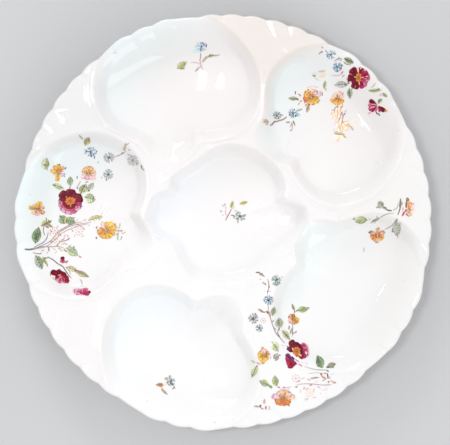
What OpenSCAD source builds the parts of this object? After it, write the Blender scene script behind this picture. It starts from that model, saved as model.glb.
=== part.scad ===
// Oyster plate: a pressed porcelain plate with five shell wells round a lobed sauce well,
// a scalloped edge, a turned foot ring and sprays of raised enamel flowers.
// Origin at the middle of the foot ring's resting face, +Z up. Millimetres.

/* [Plate] */
// Diameter over the middle of the scalloped edge
plate_d = 225; // [205:1:250]
// Height of the edge above the table
rim_h = 22; // [20:0.5:28]
// Height of the ridge round the sauce well above the table
ridge_h = 17.5; // [15:0.5:19.5]
// Thickness of the porcelain
wall = 4; // [3:0.1:5]
// Thickness of the rounded edge
edge_t = 3.4; // [2.4:0.1:4]
// How far the rounded edge curves in above and below
edge_round = 1.3; // [0.8:0.1:2]

/* [Scallops] */
// How far the large scallops at the shells stand out
shell_scallop = 1.7; // [0.6:0.1:3]
// How far the small scallops between the shells stand out
web_scallop = 0.9; // [0.3:0.1:2]

/* [Shell wells] */
// Distance of each shell well's middle from the plate's middle
well_ring_r = 73; // [68:0.5:78]
// Radius of a shell well where its outline share is 1
well_r = 45; // [38:0.5:50]
// Width of the steep wall inside a shell well
well_wall_w = 7; // [5:0.1:9]
// Width of the slope on which a shell well rises to the plate's edge
rim_slope_w = 19; // [14:0.5:24]
// Height of the raised lip round the wells
lip_h = 0.7; // [0.4:0.1:1.5]
// Width of the raised lip round the wells
lip_w = 1.8; // [1.2:0.1:3]

/* [Sauce well] */
// Radius of the sauce well where its outline share is 1
sauce_r = 43; // [36:0.5:45]
// Width of the steep wall inside the sauce well
sauce_wall_w = 7; // [5:0.1:9]

/* [Foot ring] */
// Diameter of the foot ring at the middle of its width
foot_d = 124; // [112:1:132]
// Height of the foot ring
foot_h = 4.5; // [3:0.1:6]
// Width of the foot ring where it joins the plate
foot_top_w = 6; // [5:0.1:8]
// Width of the foot ring's bare resting face
foot_rest_w = 2.6; // [2:0.1:3.6]

/* [Enamel] */
// Thickness of the painted enamel
enamel_t = 0.4; // [0.3:0.05:0.8]
// Clearance between the glaze and the enamel that lies on it
enamel_gap = 0.3; // [0.2:0.05:0.5]
// Width of a painted stem
stem_w = 0.8; // [0.6:0.05:1.2]

/* [Hidden] */
plate_r = plate_d / 2;
foot_r = foot_d / 2;

// The directions of the five shells, of their wells' middles, and each well's size as a share of well_r.
// The mould was cut by hand, so the five are not quite alike or evenly spaced.
shell_angles = [45.5, 113.5, 182.5, 257, 331.5];
well_angles = [43, 109.5, 177.5, 252.5, 331.5];
well_size_shares = [0.98, 1, 1, 1, 1.03];
// How far each well's own axis is turned on from the line to the plate's middle
well_turn = 3.5;

// Outline of a shell well, every 15 degrees from its outward axis, as shares of well_r.
// The hinge of the shell is the lobe near 145 degrees, and its tucked-in corner is at 180.
well_shares = [
    1.12, 1.10, 1.06, 1.04, 1.04, 1.01, 0.94, 0.82, 0.75, 0.83, 0.86, 0.74,
    0.61, 0.69, 0.80, 0.90, 0.96, 0.99, 1.00, 0.99, 0.99, 1.01, 1.05, 1.09
];
hinge_angle = 146;
hinge_half_angle = 28;
hinge_wall_share = 2.2;
// Share of a well's depth that its steep wall takes up
steep_share = 0.5;
// A well's own heights are worked out this many times well_r from its middle, and no further
well_reach_share = 1.3;

// Outline of the sauce well, every 10 degrees from +X, as shares of sauce_r
sauce_shares = [
    1.07, 1.05, 0.84, 0.91, 0.96, 0.98, 1.00, 1.00, 1.00, 0.98, 0.94, 0.89,
    0.86, 0.87, 0.89, 0.84, 0.97, 1.01, 1.02, 0.92, 0.76, 0.74, 0.77, 0.81,
    0.84, 0.81, 0.80, 0.80, 0.80, 0.80, 0.80, 0.79, 0.79, 0.84, 0.92, 1.02
];

// One sector of the edge runs from one shell's first large scallop to the next shell's.
// Where its scallops meet, as shares of the sector, from the middle of the shell.
scallop_shares = [-0.139, -0.046, 0.046, 0.139, 0.208, 0.300, 0.392, 0.483, 0.575, 0.667, 0.758];
// What each stretch is: 2 for a large scallop, 1 for a small one, 0 for the plain step between
scallop_kinds = [2, 2, 2, 0, 1, 1, 1, 1, 1, 1, 0];
scallop_steps = [3, 3, 3, 2, 3, 3, 3, 3, 3, 3, 3];
// How far out two large scallops meet, as a share of shell_scallop
cusp_share = 0.45;

shells = len(shell_angles);
sector_n = 32;
edge_n = shells * sector_n;
// The edge point of each sector where one well's share of the top meets the next one's
border_n = 20;
side_n = 8;
crest_n = 10;
// The border runs straight out for this share of its length, and then turns to its edge point
border_straight_share = 0.4;
spoke_n = sector_n + 2 * side_n + crest_n;

// The rings of points inside a well, as shares of the way to its crest, and outside, in lip widths
well_ring_shares = [0.26, 0.46, 0.60, 0.71, 0.80, 0.87, 0.925, 0.965, 1];
outer_ring_widths = [0.6, 1.6];
sauce_ring_shares = [0.30, 0.55, 0.72, 0.81, 0.88, 0.94];
sauce_n = shells * crest_n;
// The rings of points on the underside: outer ones as shares of the edge's radius
under_shares = [0.965, 0.92, 0.86, 0.79, 0.71];
// The flat seat under the plate is this much wider than the foot ring on each side
seat_margin = 0.8;
// Inner rings of the underside, as shares of the seat's inner radius
under_inner_shares = [0.86, 0.72, 0.56, 0.36];
// How far the foot ring's turned edge flares, as a share of its resting face and of its height
foot_flare_share = 0.25;
foot_flare_w = foot_flare_share * foot_rest_w;
foot_flare_h = foot_flare_share * foot_h;

function turned(list, i) = list[(i % len(list) + len(list)) % len(list)];
function clamp(x, low, high) = min(max(x, low), high);
function mix(a, b, t) = a + (b - a) * t;
function ease(t) = let (c = clamp(t, 0, 1)) c * c * (3 - 2 * c);
// Angle a as seen from b, between -180 and 180
function apart(a, b) = let (c = (a - b + 540) % 360) (c < 0 ? c + 360 : c) - 180;
// A window that is 1 at angle b and falls to 0 half degrees away
function window(a, b, half) = let (c = abs(apart(a, b)))
    c >= half ? 0 : pow(cos(90 * c / half), 2);
function polar(r, a) = [r * cos(a), r * sin(a)];

// A closed curve through evenly turned shares, at angle a
function round_share(shares, a) = let (
        n = len(shares),
        t = ((a % 360) + 360) % 360 * n / 360,
        i = floor(t),
        f = t - i,
        p = turned(shares, i - 1),
        q = turned(shares, i),
        r = turned(shares, i + 1),
        s = turned(shares, i + 2)
    ) q + f * (r - p + f * (2 * p - 5 * q + 4 * r - s + f * (3 * (q - r) + s - p))) / 2;

// Edge

function sector_gap(k) = let (g = turned(shell_angles, k + 1) - turned(shell_angles, k))
    g < 0 ? g + 360 : g;
function stretch_end(j) = j + 1 < len(scallop_shares) ? scallop_shares[j + 1] : scallop_shares[0] + 1;
scallop_starts = [for (j = 0, s = 0; j < len(scallop_steps); s = s + scallop_steps[j], j = j + 1) s];
// The stretch that edge point i of a sector is on, and how far along it
function stretch_of(i, j = 0) = i < scallop_starts[j] + scallop_steps[j] ? j : stretch_of(i, j + 1);
function edge_share(i) = let (j = stretch_of(i))
    mix(scallop_shares[j], stretch_end(j), (i - scallop_starts[j]) / scallop_steps[j]);
function edge_angle(k, i) = turned(shell_angles, k) + sector_gap(k) * edge_share(i);
// Scalloped radius: each scallop is half a wave that stands out from the plain edge
function edge_out(i) = let (j = stretch_of(i), t = (i - scallop_starts[j]) / scallop_steps[j])
    scallop_kinds[j] == 2 ? shell_scallop * mix(cusp_share, 1, sin(180 * t)) :
    scallop_kinds[j] == 1 ? web_scallop * (sin(180 * t) - 1) :
    mix(turned(scallop_kinds, j - 1) == 2 ? cusp_share * shell_scallop : -web_scallop,
        turned(scallop_kinds, j + 1) == 2 ? cusp_share * shell_scallop : -web_scallop, t);
edge_angles = [for (k = [0:shells - 1]) for (i = [0:sector_n - 1]) edge_angle(k, i)];
edge_radii = [for (k = [0:shells - 1]) for (i = [0:sector_n - 1]) plate_r + edge_out(i)];

// Heights

function base_z(r) = ridge_h + (rim_h - ridge_h) * pow(r / plate_r, 2);
well_mids = [for (a = well_angles) polar(well_ring_r, a)];
// Radius of well k's outline in the direction a. Past the plate's edge the outline only steers its sides.
function well_edge(k, a) = well_r * well_size_shares[k]
    * round_share(well_shares, a - well_angles[k] - well_turn);
// The well at a point: how far outside its outline, its radius there and the angle on the well
function well_at(k, p) = let (
        v = p - well_mids[k],
        a = atan2(v[1], v[0]),
        r = well_edge(k, a)
    ) [norm(v) - r, r, a - well_angles[k] - well_turn];
function well_wall(t) = well_wall_w
    * (1 + (hinge_wall_share - 1) * window(t, hinge_angle, hinge_half_angle));
function sauce_at(p) = let (a = atan2(p[1], p[0]), r = sauce_r * round_share(sauce_shares, a))
    [norm(p) - r, r];
// How deep a well is, as a share of its full depth, s inside its outline
function sunk(s, r, w) = s <= 0 ? 0 :
    steep_share * ease(s / w) + (1 - steep_share) * (1 - pow(1 - min(s / r, 1), 2));
function lip(d) = lip_h * exp(-pow((d - lip_w / 2) / lip_w, 2));

function sunk_at(p, grow) = let (
        sauce = sauce_at(p),
        slope = ease((plate_r - norm(p)) / rim_slope_w),
        wells = [for (k = [0:shells - 1]) if (norm(p - well_mids[k]) < well_reach_share * well_r + grow) k]
    ) max(concat(
        [sunk(grow - sauce[0], sauce[1] + grow, sauce_wall_w + grow / 2)],
        [for (k = wells) let (w = well_at(k, p))
            slope * sunk(grow - w[0], w[1] + grow, well_wall(w[2]) + grow / 2)]));
function lip_at(p) = max(concat(
    [lip(sauce_at(p)[0] + lip_w / 2)],
    [for (k = [0:shells - 1]) let (w = well_at(k, p))
        lip(w[0]) * (1 - window(w[2], hinge_angle, hinge_half_angle))]));
floor_z = foot_h + wall;
function top_z(p) = let (b = base_z(norm(p)) + lip_at(p)) b - (b - floor_z) * sunk_at(p, 0);

// The underside follows the top a wall lower, and is flat where the foot ring is luted on
function under_free_z(p) = let (b = base_z(norm(p)) - wall) b - (b - foot_h) * sunk_at(p, wall);
function seat_z(r) = foot_h + max(0, abs(r - foot_r) - foot_top_w / 2 - seat_margin);
function under_z(p) = min(under_free_z(p), seat_z(norm(p)));

// The top is five patches of spokes round the wells' middles, and one round the plate's middle.
// They meet along the sauce well's crest and along a border line between each two wells.

function border_angle(k) = let (a = turned(well_angles, k)) a + apart(turned(well_angles, k + 1), a) / 2;
function crest_angle(k, i) = let (a = border_angle(k - 1)) a + apart(border_angle(k), a) * i / crest_n;
crest_pts = [for (k = [0:shells - 1]) for (i = [0:crest_n - 1]) let (a = crest_angle(k, i))
    polar(sauce_r * round_share(sauce_shares, a), a)];
edge_pts = [for (i = [0:edge_n - 1]) polar(edge_radii[i] - edge_round, edge_angles[i])];
function border_pt(k, j) = let (
        t = j / side_n,
        from = crest_pts[((k + 1) % shells) * crest_n],
        i = k * sector_n + border_n,
        to_r = edge_radii[i] - edge_round,
        a = border_angle(k),
        turn = apart(edge_angles[i], a) * ease((t - border_straight_share) / (1 - border_straight_share))
    ) polar(mix(norm(from), to_r, t), a + turn);
border_pts = [for (k = [0:shells - 1]) for (j = [1:side_n - 1]) border_pt(k, j)];
function lifted(pts) = [for (p = pts) [p[0], p[1], top_z(p)]];

// Numbers of the shared points: edge, crest, border, then each patch's own
crest_0 = edge_n;
border_0 = crest_0 + sauce_n;
well_0 = border_0 + shells * (side_n - 1);
well_rings = len(well_ring_shares) + len(outer_ring_widths);
well_count = 1 + well_rings * spoke_n;
sauce_0 = well_0 + shells * well_count;
sauce_count = 1 + len(sauce_ring_shares) * sauce_n;
rim_0 = sauce_0 + sauce_count;
under_0 = rim_0 + 2 * edge_n;
seat_0 = under_0 + len(under_shares) * edge_n;
half_n = edge_n / 2;
inner_0 = seat_0 + 2 * half_n;
last_i = inner_0 + len(under_inner_shares) * half_n;

function side_i(k, j) = border_0 + ((k + shells) % shells) * (side_n - 1) + j - 1;
function around_i(k, i) =
    i <= sector_n ? (k * sector_n - (sector_n - border_n) + i + edge_n) % edge_n :
    i < sector_n + side_n ? side_i(k, side_n - (i - sector_n)) :
    i <= sector_n + side_n + crest_n ?
        crest_0 + ((k + 1) * crest_n - (i - sector_n - side_n) + sauce_n) % sauce_n :
    side_i(k - 1, i - sector_n - side_n - crest_n);
shared_pts = concat(edge_pts, crest_pts, border_pts);
function spoke(k, i) = shared_pts[around_i(k, i)] - well_mids[k];
// Distance from well k's middle along spoke i to ring j, kept inside the patch
function spoke_r(k, i, j) = let (
        v = spoke(k, i),
        reach_r = norm(v),
        crest_r = min(well_edge(k, atan2(v[1], v[0])), reach_r - lip_w / 2),
        n = len(well_ring_shares),
        m = len(outer_ring_widths)
    ) j < n ? crest_r * well_ring_shares[j] :
        crest_r + min(outer_ring_widths[j - n] * lip_w, (reach_r - crest_r) * (j - n + 1) / (m + 1));
function well_pts(k) = concat(
    [well_mids[k]],
    [for (j = [0:well_rings - 1]) for (i = [0:spoke_n - 1]) let (v = spoke(k, i))
        well_mids[k] + v / norm(v) * spoke_r(k, i, j)]);
sauce_pts = concat([[0, 0]], [for (s = sauce_ring_shares) for (p = crest_pts) s * p]);

function rim_pt(i, r_in, drop) = let (p = polar(edge_radii[i] - r_in, edge_angles[i]))
    [p[0], p[1], base_z(edge_radii[i]) - drop];
rim_pts = concat(
    [for (i = [0:edge_n - 1]) rim_pt(i, 0, edge_t / 2)],
    [for (i = [0:edge_n - 1]) rim_pt(i, edge_round, edge_t)]);
function under_pt(r, a) = let (p = polar(r, a)) [p[0], p[1], under_z(p)];
seat_out_r = foot_r + foot_top_w / 2 + seat_margin;
seat_in_r = foot_r - foot_top_w / 2 - seat_margin;
under_pts = concat(
    [for (s = under_shares) for (i = [0:edge_n - 1]) under_pt(edge_radii[i] * s, edge_angles[i])],
    [for (r = [seat_out_r, seat_in_r]) for (i = [0:half_n - 1]) under_pt(r, edge_angles[2 * i])],
    [for (s = under_inner_shares) for (i = [0:half_n - 1]) under_pt(seat_in_r * s, edge_angles[2 * i])],
    [[0, 0, under_z([0, 0])]]);

// Faces between a ring of n points that starts at a and the next ring outwards, which starts at b.
// Seen from above they turn clockwise, so they face up.
function band(a, b, n) = [for (i = [0:n - 1]) let (j = (i + 1) % n)
    each [[a + i, b + j, b + i], [a + i, a + j, b + j]]];
function fan(c, a, n) = [for (i = [0:n - 1]) [c, a + (i + 1) % n, a + i]];
function flipped(faces) = [for (f = faces) [f[0], f[2], f[1]]];
function well_faces(k) = let (c = well_0 + k * well_count, last = c + 1 + (well_rings - 1) * spoke_n) concat(
    fan(c, c + 1, spoke_n),
    [for (j = [0:well_rings - 2]) each band(c + 1 + j * spoke_n, c + 1 + (j + 1) * spoke_n, spoke_n)],
    [for (i = [0:spoke_n - 1]) let (j = (i + 1) % spoke_n, p = around_i(k, i), q = around_i(k, j))
        each [[last + i, q, p], [last + i, last + j, q]]]);
sauce_faces = let (last = sauce_0 + 1 + (len(sauce_ring_shares) - 1) * sauce_n) concat(
    fan(sauce_0, sauce_0 + 1, sauce_n),
    [for (j = [0:len(sauce_ring_shares) - 2])
        each band(sauce_0 + 1 + j * sauce_n, sauce_0 + 1 + (j + 1) * sauce_n, sauce_n)],
    band(last, crest_0, sauce_n));
// From a ring of half as many points out to a full ring
halving = [for (i = [0:half_n - 1]) let (
        a = seat_0,
        b = seat_0 - edge_n,
        j = (i + 1) % half_n,
        m = 2 * i + 1,
        q = (2 * i + 2) % edge_n
    ) each [[a + i, b + m, b + 2 * i], [a + i, a + j, b + m], [a + j, b + q, b + m]]];
under_faces = concat(
    band(rim_0, 0, edge_n),
    band(rim_0 + edge_n, rim_0, edge_n),
    band(under_0, rim_0 + edge_n, edge_n),
    [for (j = [0:len(under_shares) - 2])
        each band(under_0 + (j + 1) * edge_n, under_0 + j * edge_n, edge_n)],
    halving,
    band(seat_0 + half_n, seat_0, half_n),
    band(inner_0, seat_0 + half_n, half_n),
    [for (j = [0:len(under_inner_shares) - 2])
        each band(inner_0 + (j + 1) * half_n, inner_0 + j * half_n, half_n)],
    fan(last_i, last_i - half_n, half_n));

// Enamel
// The flowers are laid out on a grid of grid_n squares from the plate's middle to its edge.
// Blossoms, leaves and berries are rows of shares of a square: x, y, then half-length, half-width
// and turn of a blossom, length, width and turn of a leaf, or radius of a berry.
// A stem is the list of grid points that it runs through.

grid_n = 208;
square = plate_r / grid_n;
// One petal's outline, as shares of a blossom's radius
petal_shares = [0.74, 1, 1];
petal_n = 5;
core_share = 0.5;
// Blossoms whose half-length is over this many squares get more rings of points
wide_blossom_share = 7.5;
wide_ring_shares = [0.3, 0.55, 0.8, 1];
leaf_n = 10;
berry_n = 6;
// Leaves longer than this many squares get a second ring of points
long_leaf_share = 9;
stem_n = 3;
edge_thin_share = 0.5;

left_rose_shares = [
    [-157, 20, 13, 12.5, 20], [-166, -55, 9.5, 6, -35], [-163, -39, 3.5, 3, 60], [-142, -71, 9.5, 4, -4]
];
left_orange_shares = [
    [-167, 51, 6.5, 7, 90], [-137, 48, 8, 7.5, 0], [-187, 13, 8.5, 7.5, 30], [-119.5, -9, 9, 9, 15]
];
left_blue_shares = [
    [-134.5, 69, 6.5, 5.5, 0], [-116.5, 64, 5.5, 5.5, 0], [-117.5, 48, 5, 5, 30], [-92.5, 61, 6.5, 5.5, -20]
];
left_leaf_shares = [
    [-155, 39.5, 11, 5, 95], [-169, 36, 12, 5, 162], [-136, 25, 11, 7, -20], [-159.5, 1, 15, 8, -12],
    [-189.5, -11, 15, 8.5, 85], [-187, -41, 14, 6, -60], [-179, -42, 10, 3.5, -62], [-152.5, -30, 17, 6, -25]
];
left_olive_shares = [
    [-137, 81, 8, 5, 60], [-145, 84.5, 6, 3, 130], [-180, 58.5, 9, 6, 80], [-99, 75, 8, 4, 80],
    [-141.5, 33, 8, 4, 60], [-133, 36, 8, 4, 60], [-128, 4, 13, 5, 20], [-146, -52, 20, 4.5, -18],
    [-180, -1, 8, 3, 30], [-106, -7, 6, 3, 85], [-106, -14, 6, 3, 95], [-82, 53, 6, 3, -50]
];
left_stem_shares = [
    [[-200, -28], [-184, -19], [-168, -12.5], [-152, -6.5], [-136, 0]],
    [[-195, -31], [-183, -32], [-172, -39], [-165, -44.5], [-158, -48]],
    [[-181.5, -15.5], [-179.5, -10], [-179, -4]],
    [[-151, 32], [-146, 41]],
    [[-110, 66], [-101, 68.5], [-99, 70]],
    [[-181, -26], [-171, -27.5], [-162, -27.5]]
];
left_berry_shares = [[-171.5, -5, 3], [-170, -20.5, 4], [-147, -13, 4]];

upper_rose_shares = [[133, 142, 10.5, 10, 10], [153, 115, 9, 6.5, -35]];
upper_orange_shares = [[88, 126.5, 10.5, 9.5, 10], [114, 124.5, 7.5, 7, 0]];
upper_blue_shares = [
    [106, 166, 5, 4.5, 0], [113.5, 154, 5.5, 5, 40], [68.5, 109.5, 5.5, 5.5, 0], [52.5, 107.5, 4.5, 4, 20]
];
upper_leaf_shares = [
    [124.5, 161, 10, 4.5, -36], [118, 138, 12, 5, 170], [127, 128, 10, 5, -80], [101, 139, 10, 5, 75],
    [71, 124.5, 10, 5, 180], [151, 130, 13, 5, 0], [160, 122, 7, 4, -50], [154.5, 123.5, 5, 3, 20],
    [98.5, 151.5, 7, 3.5, 10], [90.5, 147.5, 5, 3, 150]
];
upper_tip_shares = [
    [86, 112.5, 8, 4, -105], [77, 114.5, 6, 3.5, 40], [68, 98, 9, 3, -90], [46, 98, 5, 3, -120],
    [119, 112, 8, 3.5, -80], [111, 110, 7, 3, -110], [111, 98, 8, 3, -70], [119.5, 97, 8, 3.5, -100],
    [128, 95, 9, 3.5, -45], [112, 87.5, 8, 3.5, 5], [121, 83, 8, 3, -60], [40, 101, 6, 4.5, 20],
    [97, 169.5, 6, 4, 10], [118.5, 149, 5, 3, 60]
];
upper_stem_shares = [
    [[45, 101], [53, 101.5], [61, 104.5]],
    [[115.5, 105.5], [115.5, 98], [116.5, 91.5]],
    [[113.5, 160], [119, 163]]
];

right_orange_shares = [[184, 13.5, 8, 4.5, 85], [154, -14, 7.5, 7.5, 18]];
right_leaf_shares = [
    [175.5, 14.5, 15, 3.5, 80], [156.5, 16.5, 9, 6, 140], [137, 1.5, 13, 7, 175], [150.5, 1.5, 9, 3.5, 30],
    [172.5, -6.5, 14, 7, -78], [141, -27.5, 6, 3, 70]
];
right_stem_shares = [
    [[172, 7], [163, 7.5], [156, 4]],
    [[171, 9.5], [166, 11.5], [161, 13]],
    [[168, 0], [165, -5], [162, -8]]
];

lower_rose_shares = [[72, -130, 11.5, 9, -35], [65, -143.5, 8, 6, -60]];
lower_orange_shares = [[40, -134, 8, 8, 0], [69.5, -99, 6, 6, 10], [58.5, -177, 13.5, 8, 0]];
lower_blue_shares = [
    [51.5, -60.5, 5, 5.5, 0], [44, -79, 5.5, 5, 0], [28.5, -97, 5.5, 5.5, 20], [35.5, -108.5, 4, 4, 0]
];
lower_leaf_shares = [
    [50.5, -91, 10, 4.5, 75], [56.5, -104, 10, 8, 100], [80.5, -87.5, 12, 6, 10], [70, -87.5, 8, 3.5, 110],
    [60, -116, 11, 4.5, -50], [51.5, -123.5, 9, 6.5, 120], [52.5, -138, 7, 6, -150], [30, -151, 15, 4, -110],
    [96, -140, 12, 8, 105], [108, -143, 10, 5, 20], [52.5, -158.5, 10, 5.5, 75], [40, -161, 9, 4.5, 160],
    [90.5, -155, 9, 3, 10]
];
lower_tan_shares = [
    [38, -50, 10, 3.5, -20], [37, -58, 8, 4, -40], [37, -88, 7, 3.5, 160], [99.5, -155, 7, 3.5, -30],
    [28, -141, 6, 3, 150], [66, -110.5, 6, 3.5, 10], [46.5, -165, 6, 4, -30], [40, -180.5, 6, 4, 90],
    [35, -187, 6, 4, 170], [46, -188, 6, 4, -20]
];
lower_stem_shares = [
    [[44.5, -65], [44, -69], [44, -73]],
    [[44, -85], [46.5, -97], [51.5, -110], [59, -121.5]],
    [[79, -143.5], [87, -147], [97, -149.5], [106, -148.5]],
    [[72, -166], [80, -163.5], [92, -162], [104, -163]],
    [[69.5, -105.5], [69, -108]]
];
lower_berry_shares = [[72, -156.5, 4], [84, -171.5, 4.5], [37, -99, 2.5]];

top_blue_shares = [[-24, 175.5, 6, 5.5, 0]];
top_leaf_shares = [[-42.5, 157.5, 11, 6, 20], [-9, 167, 13, 4, 20], [-26, 150, 8, 3, 75]];
top_stem_shares = [[[-36, 160.5], [-26, 161.5], [-16, 165]], [[-24, 169], [-24.5, 163.5]]];
middle_blue_shares = [[15.5, 4, 5.5, 5, 0], [-3.5, 10, 3, 3, 0], [0, 16.5, 2.5, 2.5, 0]];
middle_leaf_shares = [[8, 19, 7, 3.5, 60], [19, 19, 8, 4, 20]];
middle_stem_shares = [[[4, 13], [8, 12], [12, 14]], [[2, 5], [6, 5], [9, 8.5]]];
low_blue_shares = [[-54, -162.5, 5.5, 5, 0]];
low_leaf_shares = [[-66, -164, 8, 4, 160], [-60.5, -172, 9, 4, -130]];

function put(row, v) = let (t = row[4])
    square * [row[0] + v[0] * cos(t) - v[1] * sin(t), row[1] + v[0] * sin(t) + v[1] * cos(t)];
function petal_ring(row, share) = let (n = petal_n * len(petal_shares)) [
    for (i = [0:n - 1]) let (a = 360 * i / n, r = share * petal_shares[i % len(petal_shares)])
        put(row, r * [row[2] * cos(a), row[3] * sin(a)])];
function leaf_ring(row, share) = [
    for (i = [0:leaf_n - 1]) let (a = 360 * i / leaf_n)
        put(row, share / 2 * [row[2] * cos(a), row[3] * sin(a)])];
// The facets that the enamel lies on, as patches: a middle, its rings of points, its spokes and its reach
function flat(p) = [p[0], p[1]];
function spun(a, b) = a[0] * b[1] - a[1] * b[0];
function patch(mid, rings) = let (spokes = [for (p = rings[len(rings) - 1]) flat(p) - flat(mid)])
    [mid, rings, spokes, max([for (v = spokes) norm(v)])];
shared_top = lifted(shared_pts);
patches = concat(
    [for (k = [0:shells - 1]) let (pts = lifted(well_pts(k))) patch(pts[0], concat(
        [for (j = [0:well_rings - 1]) [for (i = [0:spoke_n - 1]) pts[1 + j * spoke_n + i]]],
        [[for (i = [0:spoke_n - 1]) shared_top[around_i(k, i)]]]))],
    [let (pts = lifted(sauce_pts)) patch(pts[0], concat(
        [for (j = [0:len(sauce_ring_shares) - 1]) [for (i = [0:sauce_n - 1]) pts[1 + j * sauce_n + i]]],
        [[for (i = [0:sauce_n - 1]) shared_top[crest_0 + i]]]))]);
function plane_z(a, b, c, p) = let (v = cross(b - a, c - a))
    a[2] - (v[0] * (p[0] - a[0]) + v[1] * (p[1] - a[1])) / v[2];
// The wedge between two spokes of a patch that holds p, as a list of one, or of none
function wedge_at(patch, p) = let (v = p - flat(patch[0]), n = len(patch[2]))
    [for (i = [0:1:norm(v) < patch[3] ? n - 1 : -1])
        if (spun(patch[2][i], v) >= 0 && spun(patch[2][(i + 1) % n], v) < 0) i];
function outside(ring, i, j, p) = spun(flat(ring[j]) - flat(ring[i]), p - flat(ring[i])) < 0;
// Height of a patch's facets at p, as a list of one, or of none where p is off the patch
function patch_z(patch, p) = [for (i = wedge_at(patch, p)) let (
        rings = patch[1],
        j = (i + 1) % len(patch[2]),
        m = len([for (ring = rings) if (outside(ring, i, j, p)) 1])
    ) if (m < len(rings)) m == 0 ? plane_z(patch[0], rings[0][i], rings[0][j], p) :
        spun(flat(rings[m][j]) - flat(rings[m - 1][i]), p - flat(rings[m - 1][i])) > 0 ?
            plane_z(rings[m - 1][i], rings[m - 1][j], rings[m][j], p) :
            plane_z(rings[m - 1][i], rings[m][j], rings[m][i], p)];
function facet_z(p) = max([for (patch = patches) each patch_z(patch, p)]);
function on_glaze(p, h) = [p[0], p[1], facet_z(p) + enamel_gap + h];
// A smooth line through a stem's points, t of the way from its point i to the next
function along(route, i, t) = let (
        last = len(route) - 1,
        p = route[max(i - 1, 0)],
        q = route[i],
        r = route[min(i + 1, last)],
        s = route[min(i + 2, last)]
    ) square * (q + t * (r - p + t * (2 * p - 5 * q + 4 * r - s + t * (3 * (q - r) + s - p))) / 2);

// A thin pad of enamel on the glaze: rings of points round a middle, the last one its outline
module pad(mid, rings) {
    n = len(rings[0]);
    m = len(rings);
    under = 1 + m * n;
    polyhedron(
        points = concat(
            [on_glaze(mid, enamel_t)],
            [for (j = [0:m - 1]) for (p = rings[j]) on_glaze(p, enamel_t * (j == m - 1 ? edge_thin_share : 1))],
            [on_glaze(mid, 0)],
            [for (ring = rings) for (p = ring) on_glaze(p, 0)]),
        faces = concat(
            fan(0, 1, n),
            [for (j = [0:1:m - 2]) each band(1 + j * n, 1 + (j + 1) * n, n)],
            band(under - n, under + 1 + (m - 1) * n, n),
            flipped(fan(under, under + 1, n)),
            [for (j = [0:1:m - 2]) each flipped(band(under + 1 + j * n, under + 1 + (j + 1) * n, n))]));
}

module blossoms(rows) {
    for (row = rows)
        pad(put(row, [0, 0]), [
            for (share = row[2] > wide_blossom_share ? wide_ring_shares : [core_share, 1])
                petal_ring(row, share)]);
}

module leaves(rows) {
    for (row = rows)
        pad(put(row, [0, 0]), [
            for (share = row[2] > long_leaf_share ? [core_share, 1] : [1]) leaf_ring(row, share)]);
}

module berries(rows) {
    for (row = rows) {
        mid = square * [row[0], row[1]];
        pad(mid, [[for (i = [0:berry_n - 1]) mid + polar(square * row[2], 360 * i / berry_n)]]);
    }
}

module stems(routes) {
    for (route = routes) {
        mids = [
            for (i = [0:len(route) - 2])
                for (j = [0:stem_n - (i < len(route) - 2 ? 1 : 0)]) along(route, i, j / stem_n)];
        last = len(mids) - 1;
        sides = [for (i = [0:last]) let (v = mids[min(i + 1, last)] - mids[max(i - 1, 0)])
            stem_w / 2 * [-v[1], v[0]] / norm(v)];
        polyhedron(
            points = [for (i = [0:last]) each [
                on_glaze(mids[i] - sides[i], enamel_t), on_glaze(mids[i] + sides[i], enamel_t),
                on_glaze(mids[i] + sides[i], 0), on_glaze(mids[i] - sides[i], 0)]],
            faces = concat(
                flipped([[0, 1, 2], [0, 2, 3]]),
                [for (i = [0:last - 1]) for (j = [0:3]) let (a = 4 * i + j, b = 4 * i + (j + 1) % 4)
                    each [[a, b, b + 4], [a, b + 4, a + 4]]],
                [let (a = 4 * last) each [[a, a + 1, a + 2], [a, a + 2, a + 3]]]));
    }
}

// Pieces

module plate_body() {
    color("ghostwhite")
        polyhedron(
            points = concat(
                lifted(shared_pts),
                [for (k = [0:shells - 1]) each lifted(well_pts(k))],
                lifted(sauce_pts),
                rim_pts,
                under_pts),
            faces = concat(
                [for (k = [0:shells - 1]) each well_faces(k)],
                sauce_faces,
                flipped(under_faces)),
            convexity = 6);
}

module foot_ring() {
    color("linen")
        rotate_extrude($fn = 96)
            polygon([
                [foot_r - foot_top_w / 2, foot_h],
                [foot_r - foot_rest_w / 2 - foot_flare_w, foot_flare_h],
                [foot_r - foot_rest_w / 2, 0],
                [foot_r + foot_rest_w / 2, 0],
                [foot_r + foot_rest_w / 2 + foot_flare_w, foot_flare_h],
                [foot_r + foot_top_w / 2, foot_h]
            ]);
}

module left_spray_roses() {
    color("crimson")
        blossoms(left_rose_shares);
}

module left_spray_orange_blossoms() {
    color("orange")
        blossoms(left_orange_shares);
}

module left_spray_blue_florets() {
    color("lightsteelblue")
        blossoms(left_blue_shares);
}

module left_spray_leaves() {
    color("darkseagreen")
        leaves(left_leaf_shares);
}

module left_spray_olive_leaves() {
    color("darkkhaki")
        leaves(left_olive_shares);
}

module left_spray_stems() {
    color("rosybrown")
        stems(left_stem_shares);
}

module left_spray_berries() {
    color("pink")
        berries(left_berry_shares);
}

module upper_spray_roses() {
    color("crimson")
        blossoms(upper_rose_shares);
}

module upper_spray_orange_blossoms() {
    color("orange")
        blossoms(upper_orange_shares);
}

module upper_spray_blue_florets() {
    color("lightsteelblue")
        blossoms(upper_blue_shares);
}

module upper_spray_leaves() {
    color("darkseagreen")
        leaves(upper_leaf_shares);
}

module upper_spray_tips() {
    color("wheat")
        leaves(upper_tip_shares);
}

module upper_spray_stems() {
    color("rosybrown")
        stems(upper_stem_shares);
}

module right_spray_orange_blossoms() {
    color("orange")
        blossoms(right_orange_shares);
}

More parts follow.
